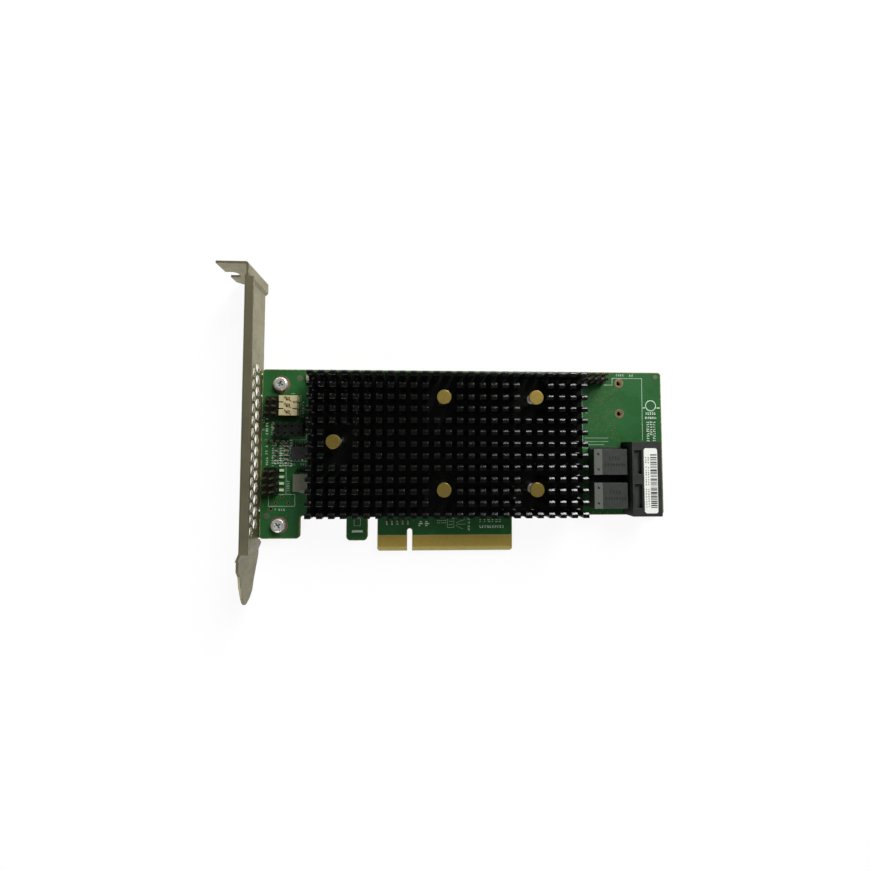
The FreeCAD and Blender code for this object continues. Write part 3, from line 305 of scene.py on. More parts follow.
# A group with a Vector input and then the ones that are given.
def newGroup(name, inputs, outputs):
    group = bpy.data.node_groups.new(name, "ShaderNodeTree")
    face = group.interface
    face.new_socket("Vector", in_out="INPUT", socket_type="NodeSocketVector")
    for label, kind, value in inputs:
        socket = face.new_socket(label, in_out="INPUT", socket_type="NodeSocket" + kind)
        socket.default_value = value
    for label, kind in outputs:
        face.new_socket(label, in_out="OUTPUT", socket_type="NodeSocket" + kind)
    return group, group.nodes.new("NodeGroupInput").outputs, group.nodes.new("NodeGroupOutput")


def useGroup(tree, group, place, sockets):
    return addNode(tree, "Group", {"Vector": place, **sockets}, node_tree=group).outputs


# Uneven tint: two sizes of cloud laid over each other. Wide is a noise's detail and
# roughness, and so are film and grain below.
tintLook = {"wide": (4.0, 0.6), "wideShare": 0.7, "fineTimes": 6.3, "fineShare": 0.3,
            "step": (0.36, 0.64)}
tintGroup, given, made = newGroup("unevenTint", [
    ("Scale", "Float", 300.0), ("Amount", "Float", 0.2), ("Color", "Color", (0.5, 0.5, 0.5, 1)),
    ("Second Color", "Color", (0.4, 0.4, 0.4, 1)),
], [("Color", "Color"), ("Mask", "Float")])
wideCloud = noise(tintGroup, given["Vector"], given["Scale"], *tintLook["wide"])
fineScale = product(tintGroup, given["Scale"], tintLook["fineTimes"])
fineCloud = noise(tintGroup, given["Vector"], fineScale)
cloud = calculate(tintGroup, "ADD", product(tintGroup, wideCloud, tintLook["wideShare"]),
                  product(tintGroup, fineCloud, tintLook["fineShare"]))
mask = between(tintGroup, cloud, *tintLook["step"])
amount = product(tintGroup, mask, given["Amount"])
tinted = blend(tintGroup, amount, given["Color"], given["Second Color"])
plug(tintGroup, made, {"Color": tinted, "Mask": mask})

# Edge mask, for wear and, on the bracket, for painted shade: where a rounded normal leaves the
# flat one, broken up by noise.
edgeMaskLook = {"samples": 4, "breakStep": (0.3, 0.6)}
edgeGroup, given, made = newGroup("edgeWearAndShade", [
    ("Radius", "Float", 0.0002), ("Breakup", "Float", 3000.0), ("Start", "Float", 0.02),
    ("End", "Float", 0.2),
], [("Mask", "Float"), ("Normal", "Vector")])
rounded = addNode(edgeGroup, "Bevel", {"Radius": given["Radius"]},
                  samples=edgeMaskLook["samples"]).outputs[0]
flat = addNode(edgeGroup, "NewGeometry").outputs["Normal"]
closeness = addNode(edgeGroup, "VectorMath", {0: rounded, 1: flat},
                    operation="DOT_PRODUCT").outputs["Value"]
edges = between(edgeGroup, calculate(edgeGroup, "SUBTRACT", 1.0, closeness), given["Start"],
                given["End"])
breakup = between(edgeGroup, noise(edgeGroup, given["Vector"], given["Breakup"]),
                  *edgeMaskLook["breakStep"])
plug(edgeGroup, made, {"Mask": product(edgeGroup, edges, breakup), "Normal": rounded})

# Dust and tiny specks that settle on what faces up.
dustLook = {"film": (5.0, 0.7), "filmStep": (0.45, 0.75), "filmShare": 0.5, "speckTimes": 1.7,
            "speckStep": (0.05, 0.1), "speckShare": 0.8, "slopeStep": (0.2, 0.9)}
dustGroup, given, made = newGroup("dustSpecks", [
    ("Scale", "Float", 900.0), ("Amount", "Float", 0.3),
], [("Mask", "Float")])
film = noise(dustGroup, given["Vector"], given["Scale"], *dustLook["film"])
film = between(dustGroup, film, *dustLook["filmStep"], 0.0, dustLook["filmShare"])
speckScale = product(dustGroup, given["Scale"], dustLook["speckTimes"])
specks = between(dustGroup, cellsOf(dustGroup, given["Vector"], speckScale)["Distance"],
                 *dustLook["speckStep"], 1.0, 0.0)
veil = calculate(dustGroup, "ADD", film, product(dustGroup, specks, dustLook["speckShare"]))
upward = between(dustGroup, normalAxes(dustGroup)[2], *dustLook["slopeStep"])
plug(dustGroup, made, {"Mask": product(dustGroup, veil, upward, given["Amount"])})

# Grain: the fine unevenness of a moulded, cast or rolled surface, longer along one way.
grainLook = {"grain": (3.0, 0.6)}
grainGroup, given, made = newGroup("fineGrain", [
    ("Scale", "Float", 6000.0), ("Stretch", "Vector", (1, 1, 1)),
], [("Height", "Float")])
drawnOut = stretched(grainGroup, given["Vector"], given["Stretch"])
plug(grainGroup, made,
     {"Height": noise(grainGroup, drawnOut, given["Scale"], *grainLook["grain"])})


def nodeOf(tree, kind):
    return next(node for node in tree.nodes if node.type == kind)


def startMaterial(name):
    material = bpy.data.materials.new(name)
    material.use_nodes = True
    tree = material.node_tree
    shader = nodeOf(tree, "BSDF_PRINCIPLED")
    place = addNode(tree, "TexCoord").outputs["Object"]
    return material, tree, shader, place


def color(rgb):
    return (*rgb, 1)


def unevenTint(tree, place, scale, amount, main, second):
    return useGroup(tree, tintGroup, place, {
        "Scale": scale, "Amount": amount, "Color": color(main), "Second Color": color(second)})


dustColor = (0.42, 0.4, 0.36)
dustRoughness = 0.3


# The finish that most pieces share: uneven tint, worn edges, dust and fine grain. On the bracket
# the edge colour is painted shade, and on the bracket and the port parts a darker band is painted
# shade.
def plainFinish(name, main, second, wearAndShadeTone, roughness, metallic, patch, radius, dust,
                uneven=0.5, grainScale=6000.0, stretch=(1, 1, 1), grainDepth=0.02,
                wearAndShadeAmount=0.5, roughSpread=0.15, specular=0.5, fade=None):
    material, tree, shader, place = startMaterial(name)
    tint = unevenTint(tree, place, patch, uneven, main, second)
    edge = useGroup(tree, edgeGroup, place, {"Radius": radius * mm})
    # The edge colour is wear on most finishes; on the bracket it is painted shade.
    amount = product(tree, edge["Mask"], wearAndShadeAmount)
    wornAndShaded = blend(tree, amount, tint["Color"], color(wearAndShadeTone or second))
    if fade:
        # A second colour that is strong at one place along an axis and gone at another. On the
        # bracket and the port parts it is painted shade.
        axis, strongAt, goneAt, strength, tone = fade
        share = between(tree, axesOf(tree, place)[axis], strongAt * mm, goneAt * mm, strength, 0)
        wornAndShaded = blend(tree, share, wornAndShaded, color(tone))
    dusty = useGroup(tree, dustGroup, place, {"Amount": dust})
    finished = blend(tree, dusty["Mask"], wornAndShaded, color(dustColor))
    height = useGroup(tree, grainGroup, place, {"Scale": grainScale, "Stretch": stretch})
    bump = addNode(tree, "Bump", {"Strength": 1.0, "Distance": grainDepth * mm,
                                  "Height": height["Height"], "Normal": edge["Normal"]})
    rough = calculate(tree, "ADD",
                      between(tree, tint["Mask"], 0, 1, roughness - roughSpread / 2,
                              roughness + roughSpread / 2),
                      product(tree, dusty["Mask"], dustRoughness))
    plug(tree, shader, {"Base Color": finished, "Roughness": rough, "Metallic": metallic,
                        "Normal": bump.outputs[0], "Specular IOR Level": specular})
    return material


# Plain finishes. Each has a name, its main, second and edge colours (the edge colour is wear, but
# painted shade on the bracket; None for the second again), its roughness, metallic share, patch
# scale, edge radius and dust, and then what differs from the usual.
# Painted shade for the port blocks and tie strips: dark up to 5.55 mm high and gone by 5.9 mm, so
# their sides and lower parts look shaded.
portPaintedShade = (2, 5.55, 5.9, 0.85, (0.004, 0.005, 0.004))
finishes = {name: plainFinish(name, *values, **others) for name, *values, others in [
    ("gold", (0.52, 0.345, 0.045), (0.38, 0.25, 0.03), (0.75, 0.6, 0.2),
     0.38, 0.5, 500, 0.05, 0.04, {"grainScale": 9000, "stretch": (1, 0.15, 1),
     "grainDepth": 0.006, "fade": (1, 1.0, 1.9, 0.8, (0.85, 0.66, 0.2))}),
    # Bracket: its dark edge colour is painted shade along its edges and round the vents, and its
    # fade is painted shade, darker towards the low end.
    ("bracketSteel", (0.285, 0.262, 0.165), (0.21, 0.19, 0.115), (0.05, 0.045, 0.03),
     0.44, 0.8, 120, 0.35, 0.06, {"uneven": 0.8, "grainScale": 2500, "stretch": (1, 0.05, 1),
     "grainDepth": 0.012, "wearAndShadeAmount": 0.75, "fade": (1, 0.0, 75.0, 0.6, (0.12, 0.11, 0.07))}),
    ("screwSteel", (0.85, 0.86, 0.8), (0.42, 0.43, 0.41), (0.92, 0.92, 0.86),
     0.34, 0.6, 1100, 0.15, 0.05, {"uneven": 0.9, "grainScale": 2500, "grainDepth": 0.05}),
    ("blackAnodised", (0.0018, 0.0025, 0.0016), (0.003, 0.0038, 0.0027), (0.006, 0.006, 0.006),
     0.2, 0, 200, 0.42, 0.002, {"grainScale": 9000, "grainDepth": 0.001, "wearAndShadeAmount": 0.2,
     "roughSpread": 0.05, "specular": 0.6}),
    ("turnedBrass", (0.47, 0.345, 0.085), (0.2, 0.14, 0.03), (0.16, 0.12, 0.04),
     0.4, 0.9, 450, 0.2, 0.04, {"uneven": 0.9, "grainScale": 4000, "wearAndShadeAmount": 0.6}),
    ("agedBrass", (0.3, 0.2, 0.08), (0.16, 0.1, 0.03), (0.5, 0.38, 0.18),
     0.5, 0.5, 900, 0.06, 0.02, {}),
    ("darkPosts", (0.11, 0.1, 0.04), (0.05, 0.05, 0.025), (0.24, 0.21, 0.1),
     0.4, 0.7, 1500, 0.06, 0, {}),
    ("springSteel", (0.75, 0.75, 0.73), (0.55, 0.55, 0.53), None,
     0.4, 0.6, 250, 0.05, 0.25, {"grainDepth": 0.004}),
    ("carrierBoard", (0.02, 0.09, 0.03), (0.03, 0.12, 0.04), None,
     0.4, 0, 250, 0.08, 0.25, {}),
    ("platedLid", (0.5, 0.5, 0.5), (0.4, 0.4, 0.4), None,
     0.35, 1, 250, 0.1, 0.25, {}),
    ("softPad", (0.3, 0.3, 0.33), (0.24, 0.24, 0.27), None,
     0.8, 0, 250, 0.1, 0.25, {}),
    ("housingPlastic", (0.014, 0.017, 0.014), (0.024, 0.027, 0.024), (0.05, 0.053, 0.05),
     0.52, 0, 300, 0.12, 0.02, {"specular": 0.3, "grainScale": 7000, "grainDepth": 0.014}),
    ("waferPlastic", (0.02, 0.023, 0.02), (0.034, 0.037, 0.033), (0.07, 0.072, 0.068),
     0.55, 0, 700, 0.1, 0.02, {"specular": 0.35, "grainScale": 5000, "stretch": (0.2, 1, 1),
     "fade": portPaintedShade}),
    ("tieStrip", (0.085, 0.092, 0.079), (0.062, 0.068, 0.057), (0.15, 0.15, 0.135),
     0.5, 0, 600, 0.1, 0.03, {"fade": portPaintedShade}),
    ("headerPlastic", (0.003, 0.0045, 0.003), (0.006, 0.008, 0.006), (0.014, 0.015, 0.014),
     0.42, 0, 500, 0.1, 0.015, {"specular": 0.35}),
    ("creamNylon", (0.45, 0.405, 0.235), (0.37, 0.305, 0.15), (0.58, 0.52, 0.36),
     0.45, 0, 420, 0.15, 0.08, {"uneven": 0.6}),
    ("chipEpoxy", (0.014, 0.015, 0.015), (0.022, 0.023, 0.023), (0.04, 0.04, 0.04),
     0.5, 0, 600, 0.06, 0.06, {"grainScale": 9000, "grainDepth": 0.012}),
    ("tin", (0.55, 0.55, 0.54), (0.42, 0.42, 0.41), (0.7, 0.7, 0.7),
     0.32, 1, 1200, 0.06, 0.08, {"grainDepth": 0.006}),
    ("pressedPowder", (0.13, 0.135, 0.09), (0.08, 0.08, 0.055), (0.28, 0.28, 0.24),
     0.6, 0, 500, 0.25, 0.1, {"grainScale": 4000, "grainDepth": 0.03}),
    ("lampResin", (0.55, 0.66, 0.42), (0.42, 0.56, 0.3), (0.75, 0.8, 0.65),
     0.25, 0, 1500, 0.08, 0.05, {}),
    ("capacitorBody", (0.3, 0.22, 0.14), (0.22, 0.15, 0.09), (0.42, 0.34, 0.24),
     0.45, 0, 1500, 0.06, 0.25, {}),
    ("resistorBody", (0.014, 0.014, 0.015), (0.025, 0.025, 0.026), None,
     0.3, 0, 1500, 0.04, 0.25, {}),
    ("bareCopper", (0.2, 0.135, 0.085), (0.14, 0.095, 0.06), (0.34, 0.26, 0.18),
     0.42, 0.6, 900, 0.05, 0.12, {"grainDepth": 0.006}),
    ("dullTin", (0.085, 0.1, 0.065), (0.06, 0.075, 0.045), (0.12, 0.13, 0.1),
     0.5, 0.4, 900, 0.05, 0.25, {}),
    # Painted shade for the inside of the small holes.
    ("holeShade", (0.006, 0.004, 0.003), (0.012, 0.007, 0.004), None,
     0.8, 0, 1500, 0.02, 0, {"specular": 0.1}),
    ("whiteInk", (0.56, 0.62, 0.54), (0.34, 0.44, 0.33), None,
     0.6, 0, 1800, 0.02, 0, {"uneven": 0.7}),
    ("paleInk", (0.3, 0.42, 0.3), (0.2, 0.32, 0.2), None,
     0.6, 0, 1800, 0.02, 0, {"uneven": 0.7}),
    ("darkInk", (0.03, 0.03, 0.03), (0.06, 0.06, 0.06), None,
     0.55, 0, 1500, 0.02, 0, {}),
    ("wornInk", (0.004, 0.005, 0.004), (0.012, 0.013, 0.012), None,
     0.6, 0, 1500, 0.02, 0, {"specular": 0.3}),
    ("labelPaper", (0.68, 0.69, 0.65), (0.6, 0.61, 0.57), (0.72, 0.72, 0.7),
     0.55, 0, 500, 0.06, 0.04, {"grainScale": 8000, "grainDepth": 0.01}),
]}
print("plain finishes made")


# The board's own finish. Mask is the scale, share and two colours of its tint. Pairs are the
# start and end of a step, tracks an angle, a pitch and a shift, and vias a step, a strength and
# a colour.
boardLook = {
    "mask": (60.0, 0.35, (0.0125, 0.076, 0.0185), (0.024, 0.078, 0.014)),
    "maskOverCopper": (0.0165, 0.09, 0.024),
    "laminate": (0.5, 0.44, 0.17), "laminateDark": (0.36, 0.3, 0.1),
    "layerStretch": (0.08, 0.08, 1.0), "layerScale": 5000.0, "layerHeight": 0.1,
    "tracks": [(0, 0.8, 0.013), (90, 0.8, 0.031), (45, 0.88, 0.047)],
    "trackStep": (0.45, 0.6), "bandScale": 0.314,
    "regionScale": 95.0, "regionStep": (0.66, 0.68),
    "planeScale": 110.0, "planeStep": (0.5, 0.53), "planeShare": 0.75, "copperHeight": 0.5,
    "viaScale": 520.0, "viaStep": (0.8, 0.82), "viaDisc": ((0.13, 0.16), 0.6, (0.08, 0.16, 0.07)),
    "viaHole": ((0.05, 0.07), 0.8, (0.005, 0.02, 0.006)),
    "fieldLow": (69.0, 42.5), "fieldHigh": (81.5, 63.0), "fieldScale": 1050.0,
    "fieldRandom": 0.45, "fieldDisc": (0.28, 0.42), "fieldShare": 0.75,
    "fieldPatch": 420.0, "fieldPatchStep": (0.42, 0.56), "fieldTone": (0.075, 0.09, 0.03),
    "sideStep": (0.7, 0.95), "rim": 0.6, "rimBreakup": 900.0, "rimStep": (0.004, 0.025),
    "rimShare": 0.95, "tabTop": (5.9, 6.0), "tabStart": (-13.0, -12.6), "tabShare": 0.9,
    "dust": 0.035, "dustScale": 700.0, "dustColor": (0.4, 0.42, 0.36), "dustRoughness": 0.4,
    "roughness": 0.42, "bareRoughness": 0.75, "bumpStrength": 0.8, "bumpDepth": 0.03,
    "specular": 0.16,
}


# Bundles of parallel copper tracks under the mask, lying at one angle.
def trackLines(tree, place, degrees, pitch, shift):
    look = boardLook
    turned = addNode(tree, "Mapping",
                     {"Vector": place, "Rotation": (0, 0, math.radians(degrees)),
                      "Location": (shift, shift * 0.7, 0)}).outputs[0]
    wave = addNode(tree, "TexWave",
                   {"Vector": turned, "Scale": look["bandScale"] / (pitch * mm)},
                   bands_direction="Y")
    lines = between(tree, wave.outputs["Fac"], *look["trackStep"])
    regions = cellsOf(tree, turned, look["regionScale"])
    chosen = addNode(tree, "SeparateColor", {0: regions["Color"]}).outputs[0]
    return product(tree, lines, between(tree, chosen, *look["regionStep"]))


# How much of a face is copper: three sets of tracks and the poured planes.
def copperShare(tree, place):
    look = boardLook
    pour = noise(tree, place, look["planeScale"], 1.0)
    poured = product(tree, between(tree, pour, *look["planeStep"]), look["planeShare"])
    tracks = [trackLines(tree, place, *track) for track in look["tracks"]]
    return calculate(tree, "MAXIMUM", *tracks, poured)


# Lays scattered vias over the mask: a pale disc with a dark hole.
def addVias(tree, place, surface):
    look = boardLook
    cells = cellsOf(tree, place, look["viaScale"])
    pickOne = addNode(tree, "SeparateColor", {0: cells["Color"]}).outputs[1]
    chosen = between(tree, pickOne, *look["viaStep"])
    for step, share, tone in (look["viaDisc"], look["viaHole"]):
        inside = between(tree, cells["Distance"], *step, 1.0, 0.0)
        amount = product(tree, chosen, inside, share)
        surface = blend(tree, amount, surface, color(tone))
    return surface


# Lays a field of close vias over the mask at the far end, dull olive.
def addViaField(tree, place, surface):
    look = boardLook
    cells = cellsOf(tree, place, look["fieldScale"], look["fieldRandom"])
    field = between(tree, cells["Distance"], *look["fieldDisc"], look["fieldShare"], 0.0)
    for axis in (0, 1):
        along = axesOf(tree, place)[axis]
        start, end = look["fieldLow"][axis] * mm, look["fieldHigh"][axis] * mm
        field = product(tree, field, between(tree, along, start - mm, start + mm),
                        between(tree, along, end - mm, end + mm, 1.0, 0.0))
    patchy = between(tree, noise(tree, place, look["fieldPatch"]), *look["fieldPatchStep"])
    return blend(tree, product(tree, field, patchy), surface, color(look["fieldTone"]))


# Where the laminate is bare: the cut sides, the worn rims and the tab by the contacts.
def bareShare(tree, place):
    look = boardLook
    slope = calculate(tree, "ABSOLUTE", normalAxes(tree)[2])
    side = between(tree, slope, *look["sideStep"], 1.0, 0.0)
    start, end = look["rimStep"]
    edge = useGroup(tree, edgeGroup, place, {"Radius": look["rim"] * mm, "Start": start,
                                             "End": end, "Breakup": look["rimBreakup"]})
    rim = product(tree, edge["Mask"], look["rimShare"])
    spot = axesOf(tree, place)
    below = between(tree, spot[1], *(y * mm for y in look["tabTop"]), 1.0, 0.0)
    beyond = between(tree, spot[0], *(x * mm for x in look["tabStart"]))
    tab = product(tree, below, beyond, look["tabShare"])
    return calculate(tree, "MAXIMUM", side, rim, tab)


def makeBoardFinish():
    look = boardLook
    material, tree, shader, place = startMaterial("solderMask")
    copper = copperShare(tree, place)
    green = unevenTint(tree, place, *look["mask"])
    masked = blend(tree, copper, green["Color"], color(look["maskOverCopper"]))
    masked = addViaField(tree, place, addVias(tree, place, masked))
    # The cut faces show the pressed glass cloth, in layers.
    layers = noise(tree, stretched(tree, place, look["layerStretch"]), look["layerScale"])
    cut = blend(tree, layers, color(look["laminate"]), color(look["laminateDark"]))
    bare = bareShare(tree, place)
    dusty = useGroup(tree, dustGroup, place, {"Amount": look["dust"], "Scale": look["dustScale"]})
    surface = blend(tree, bare, masked, cut)
    finished = blend(tree, dusty["Mask"], surface, color(look["dustColor"]))
    height = calculate(tree, "ADD", product(tree, copper, look["copperHeight"]),
                       product(tree, layers, look["layerHeight"]))
    bump = addNode(tree, "Bump", {"Strength": look["bumpStrength"], "Height": height,
                                  "Distance": look["bumpDepth"] * mm})
    rough = calculate(tree, "ADD",
                      between(tree, bare, 0, 1, look["roughness"], look["bareRoughness"]),
                      product(tree, dusty["Mask"], look["dustRoughness"]))
    plug(tree, shader, {"Base Color": finished, "Roughness": rough, "Normal": bump.outputs[0],
                        "Specular IOR Level": look["specular"]})
    return material


finishes["solderMask"] = makeBoardFinish()
print("board finish made")

headers = ["status_header", "lower_header", "ribbed_header", "debug_header"]
nodeFinishes = {
    "solderMask": ["circuit_board"],
    "gold": ["edge_contacts_front", "edge_contacts_back", "port_contacts"],
    "bracketSteel": ["mounting_bracket"], "screwSteel": ["bracket_screws"],
    "blackAnodised": ["heat_sink"], "turnedBrass": ["push_pins", "cream_socket_contacts"],
    "springSteel": ["push_pin_springs"], "carrierBoard": ["controller_carrier"],
    "platedLid": ["controller_lid"], "softPad": ["thermal_pad"],
    "housingPlastic": ["port_housing"], "labelPaper": ["barcode_label"],
    "waferPlastic": ["lower_port_block", "upper_port_block"], "headerPlastic": headers,
    "tieStrip": ["lower_port_strip", "upper_port_strip"],
    "darkPosts": [header + "_posts" for header in headers], "creamNylon": ["cream_socket"],
    "chipEpoxy": ["flash_chip"], "tin": ["flash_chip_leads", "power_inductor_tabs"],
    "pressedPowder": ["power_inductor"], "lampResin": ["status_lamps"],
    "capacitorBody": ["ceramic_capacitors"], "resistorBody": ["chip_resistors"],
}
for finishName, nodeNames in nodeFinishes.items():
    for nodeName in nodeNames:
        mesh = nodes[nodeName].data
        mesh.materials.clear()
        mesh.materials.append(finishes[finishName])
print("nodes finished")


# Gives a new piece its finish, its body and its material slot.
def dress(piece, finish, replaced=None):
    piece.data.materials.clear()
    piece.data.materials.append(finishes[finish])
    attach(piece, "root")
    if replaced:
        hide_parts(replaced)


# Printed marks on the board.
inkSizes = {"rise": 0.03, "fine": 0.16, "medium": 0.22, "bold": 0.42, "keepOff": 0.1,
            "trimStep": 0.2, "shortest": 0.18, "softened": 0.12}


# A block one metre each way, for copies that are scaled down to size.
def unitBlock(name, startY):
    return block(name, (0, startY, 0), (1000, startY + 1000, 1000))


# Where the unit stroke goes, from a stroke's start and end, both from the board's left end.
def strokePlace(stroke, base):
    (x1, y1), (x2, y2), width = stroke
    length = math.hypot(x2 - x1, y2 - y1)
    return (Matrix.Translation(Vector((x1 + boardLeft, y1, base)) * mm)
            @ Matrix.Rotation(math.atan2(y2 - y1, x2 - x1), 4, "Z")
            @ Matrix.Translation(Vector((0, -width / 2 * mm, 0)))
            @ Matrix.Diagonal((length * mm, width * mm, inkSizes["rise"] * mm, 1)))


# Strokes along a line of points; each laps over the corner by half its width.
def path(width, points):
    made = []
    for (x1, y1), (x2, y2) in zip(points, points[1:]):
        length = math.hypot(x2 - x1, y2 - y1)
        dx, dy = (x2 - x1) / length * width / 2, (y2 - y1) / length * width / 2
        made.append(((x1 - dx, y1 - dy), (x2 + dx, y2 + dy), width))
    return made


dashSizes = {"levels": (0.2, 0.8), "start": (0, 0.25), "length": (0.3, 0.62)}


# Unreadable cells in a row, in place of lettering: each holds two short parallel dashes of
# random length. Along "Y" the row runs up the board. Gaps is the share of cells left empty.
def cellRow(x, y, count, pitch, height, width, seed, along="X", gaps=0.0):
    draw = random.Random(seed)
    made = []
    for index in range(count):
        if draw.random() < gaps:
            continue
        for level in dashSizes["levels"]:
            start = index * pitch + draw.uniform(*dashSizes["start"]) * pitch
            end = start + draw.uniform(*dashSizes["length"]) * pitch
            across = height * level
            if along == "X":
                made.append(((x + start, y + across), (x + end, y + across), width))
            else:
                made.append(((x + across, y + start), (x + across, y + end), width))
    return made


# Boxes of what stands on the board, so that no mark runs under a part.
standing = [box for name in (*headers, "cream_socket", "flash_chip", "power_inductor",
                             "status_lamps", "ceramic_capacitors", "chip_resistors")
            for box in solidBoxes(name) if box[1][2] > 0]


# The lengths of a stroke that lie clear of every part.
def clearLengths(stroke):
    (x1, y1), (x2, y2), width = stroke
    reach = width / 2 + inkSizes["keepOff"]
    steps = max(1, round(math.hypot(x2 - x1, y2 - y1) / inkSizes["trimStep"]))
    kept, start = [], None
    for index in range(steps + 1):
        share = index / steps
        x, y = x1 + (x2 - x1) * share, y1 + (y2 - y1) * share
        covered = any(box[0][0] - reach < x + boardLeft < box[1][0] + reach
                      and box[0][1] - reach < y < box[1][1] + reach for box in standing)
        if not covered and start is None:
            start = (x, y)
        if start is not None and (covered or index == steps):
            if math.dist(start, (x, y)) > inkSizes["shortest"]:
                kept.append((start, (x, y), width))
            start = None
    return kept


fine, medium, bold = inkSizes["fine"], inkSizes["medium"], inkSizes["bold"]
# Guide lines: a width and the points they run through, measured from the board's left end.
guideLines = [
    (medium, [(3.14, 16.9), (12.95, 16.9), (12.95, 21.35), (3.14, 21.35), (3.14, 16.9)]),
    (fine, [(5.65, 21.5), (5.65, 31.4)]), (fine, [(6.2, 21.5), (6.2, 31.4)]),
    (fine, [(9.65, 21.5), (9.5, 31.4)]), (fine, [(11.2, 40.2), (18.4, 40.2)]),
    (fine, [(11.3, 33.85), (18.4, 33.85)]), (fine, [(1.4, 41.95), (16.9, 41.95), (16.9, 49.3)]),
    (fine, [(14.6, 50.6), (14.6, 58.9)]), (fine, [(11.0, 59.6), (12.3, 59.6)]),
    (medium, [(125.7, 63.85), (135.7, 63.85), (135.7, 66.5), (147.6, 66.5), (147.4, 42.2)]),
    (fine, [(123.6, 39.1), (123.6, 62.6)]), (medium, [(123.6, 39.1), (126.5, 39.1)]),
    (fine, [(123.1, 37.2), (123.1, 39.0)]), (fine, [(124.5, 43.0), (133.7, 43.0)]),
    (fine, [(124.5, 41.6), (133.7, 41.6)]), (fine, [(126.0, 40.4), (132.0, 40.4)]),
    (fine, [(35.3, 9.5), (37.7, 9.5), (37.7, 12.2), (35.3, 12.2), (35.3, 9.5)]),
    (fine, [(70.7, 8.7), (73.2, 8.7), (73.2, 12.1), (70.7, 12.1), (70.7, 8.7)]),
    (fine, [(74.0, 10.5), (77.4, 11.7)]), (fine, [(74.2, 9.9), (77.6, 9.9)]),
    (fine, [(74.0, 9.3), (76.6, 8.1)]),
]
markLines = [
    (bold, [(34.7, 7.2), (38.4, 7.2)]), (bold, [(34.7, 7.6), (38.4, 7.6)]),
    (bold, [(147.95, 54.9), (148.35, 54.9)]), (bold, [(153.6, 54.9), (154.5, 54.9)]),
    (bold, [(59.9, 10.2), (61.1, 10.2)]), (bold, [(62.3, 10.2), (63.6, 10.2)]),
]
# Rows of cells: left, low, count, pitch, height, stroke width, seed, direction, gaps.
cellRows = [
    # Around the bracket end.
    (0.35, 45.4, 6, 0.92, 0.75, medium, 3, "Y", 0.2),
    (1.7, 44.0, 7, 0.92, 0.75, bold, 4, "Y", 0.15),
    (1.9, 32.2, 4, 0.85, 0.75, medium, 5, "Y", 0.12),
    (1.7, 36.4, 4, 0.9, 0.7, medium, 6, "Y", 0.4),
    *((4.1 + 0.98 * index, 31.8, 11, 0.95, 0.66, (medium, bold)[index % 2], 30 + index, "Y",
       0.08) for index in range(8)),
    (3.75, 43.6, 6, 0.92, 0.7, medium, 28, "Y", 0.1),
    (11.5, 32.3, 7, 0.85, 0.7, medium, 7, "X", 0.12),
    (11.6, 40.6, 6, 0.9, 0.7, fine, 8, "X", 0.12),
    (10.05, 22.5, 5, 0.85, 0.8, medium, 9, "Y"), (6.95, 15.2, 3, 0.85, 0.75, medium, 10),
    (5.5, 15.6, 1, 0.6, 0.4, medium, 11, "X", 0.12),
    (15.2, 50.6, 6, 1.05, 0.6, fine, 12, "Y", 0.3), (7.0, 60.0, 4, 0.9, 0.6, fine, 13, "X", 0.3),
    # At the far end.
    (137.15, 67.35, 4, 0.88, 0.8, medium, 14), (142.6, 67.3, 2, 0.8, 0.75, medium, 15),
    (148.85, 52.25, 5, 0.86, 0.95, bold, 16), (148.5, 50.65, 7, 0.69, 0.7, bold, 17),
    (149.2, 41.7, 9, 0.9, 0.95, bold, 18, "Y", 0.05),
    (150.6, 44.2, 6, 0.95, 0.7, bold, 19, "Y", 0.1),
    (151.7, 41.7, 9, 0.9, 0.95, bold, 20, "Y", 0.05),
    (124.9, 51.5, 4, 1.0, 0.7, fine, 21, "Y", 0.3),
    # Along the edge connector.
    (59.6, 9.0, 2, 2.2, 2.4, bold, 22), (66.7, 10.2, 5, 0.72, 1.4, medium, 23),
    (71.2, 9.4, 2, 0.9, 2.0, medium, 24), (78.5, 7.4, 4, 1.3, 0.8, medium, 25, "Y"),
    (82.9, 10.6, 6, 1.5, 1.2, medium, 26), (82.9, 8.5, 10, 0.98, 0.9, bold, 27),
]


# Lays softened strokes on a face at a height.
def printStrokes(name, strokes, base, finish):
    template = unitBlock("stroke", 0)
    bevelWhere(template, lambda co: co.z > 0.9, inkSizes["softened"], 1)
    places = [strokePlace(stroke, base) for stroke in strokes]
    dress(stamp(template, name, places), finish)


def clearOf(strokes):
    return [length for stroke in strokes for length in clearLengths(stroke)]


guides = [stroke for line in guideLines for stroke in path(*line)]
marks = [stroke for line in markLines for stroke in path(*line)]
marks += [stroke for row in cellRows for stroke in cellRow(*row)]
printStrokes("printed_guides", clearOf(guides), 0.0, "paleInk")
printStrokes("printed_marks", clearOf(marks), 0.0, "whiteInk")

# Worn dark dashes on top of the two port blocks.
blockMarks = []
for nodeName, seed in (("lower_port_block", 41), ("upper_port_block", 44)):
    left = low(nodeName).x - boardLeft
    middle = (low(nodeName).y + high(nodeName).y) / 2
    blockMarks += cellRow(left + 2.4, middle + 0.8, 4, 1.15, 1.2, bold, seed)
    blockMarks += cellRow(left + 1.0, middle - 1.4, 8, 1.0, 0.75, bold, seed + 1)
printStrokes("block_marks", blockMarks, high("upper_port_strip").z, "wornInk")
print("printed marks made")


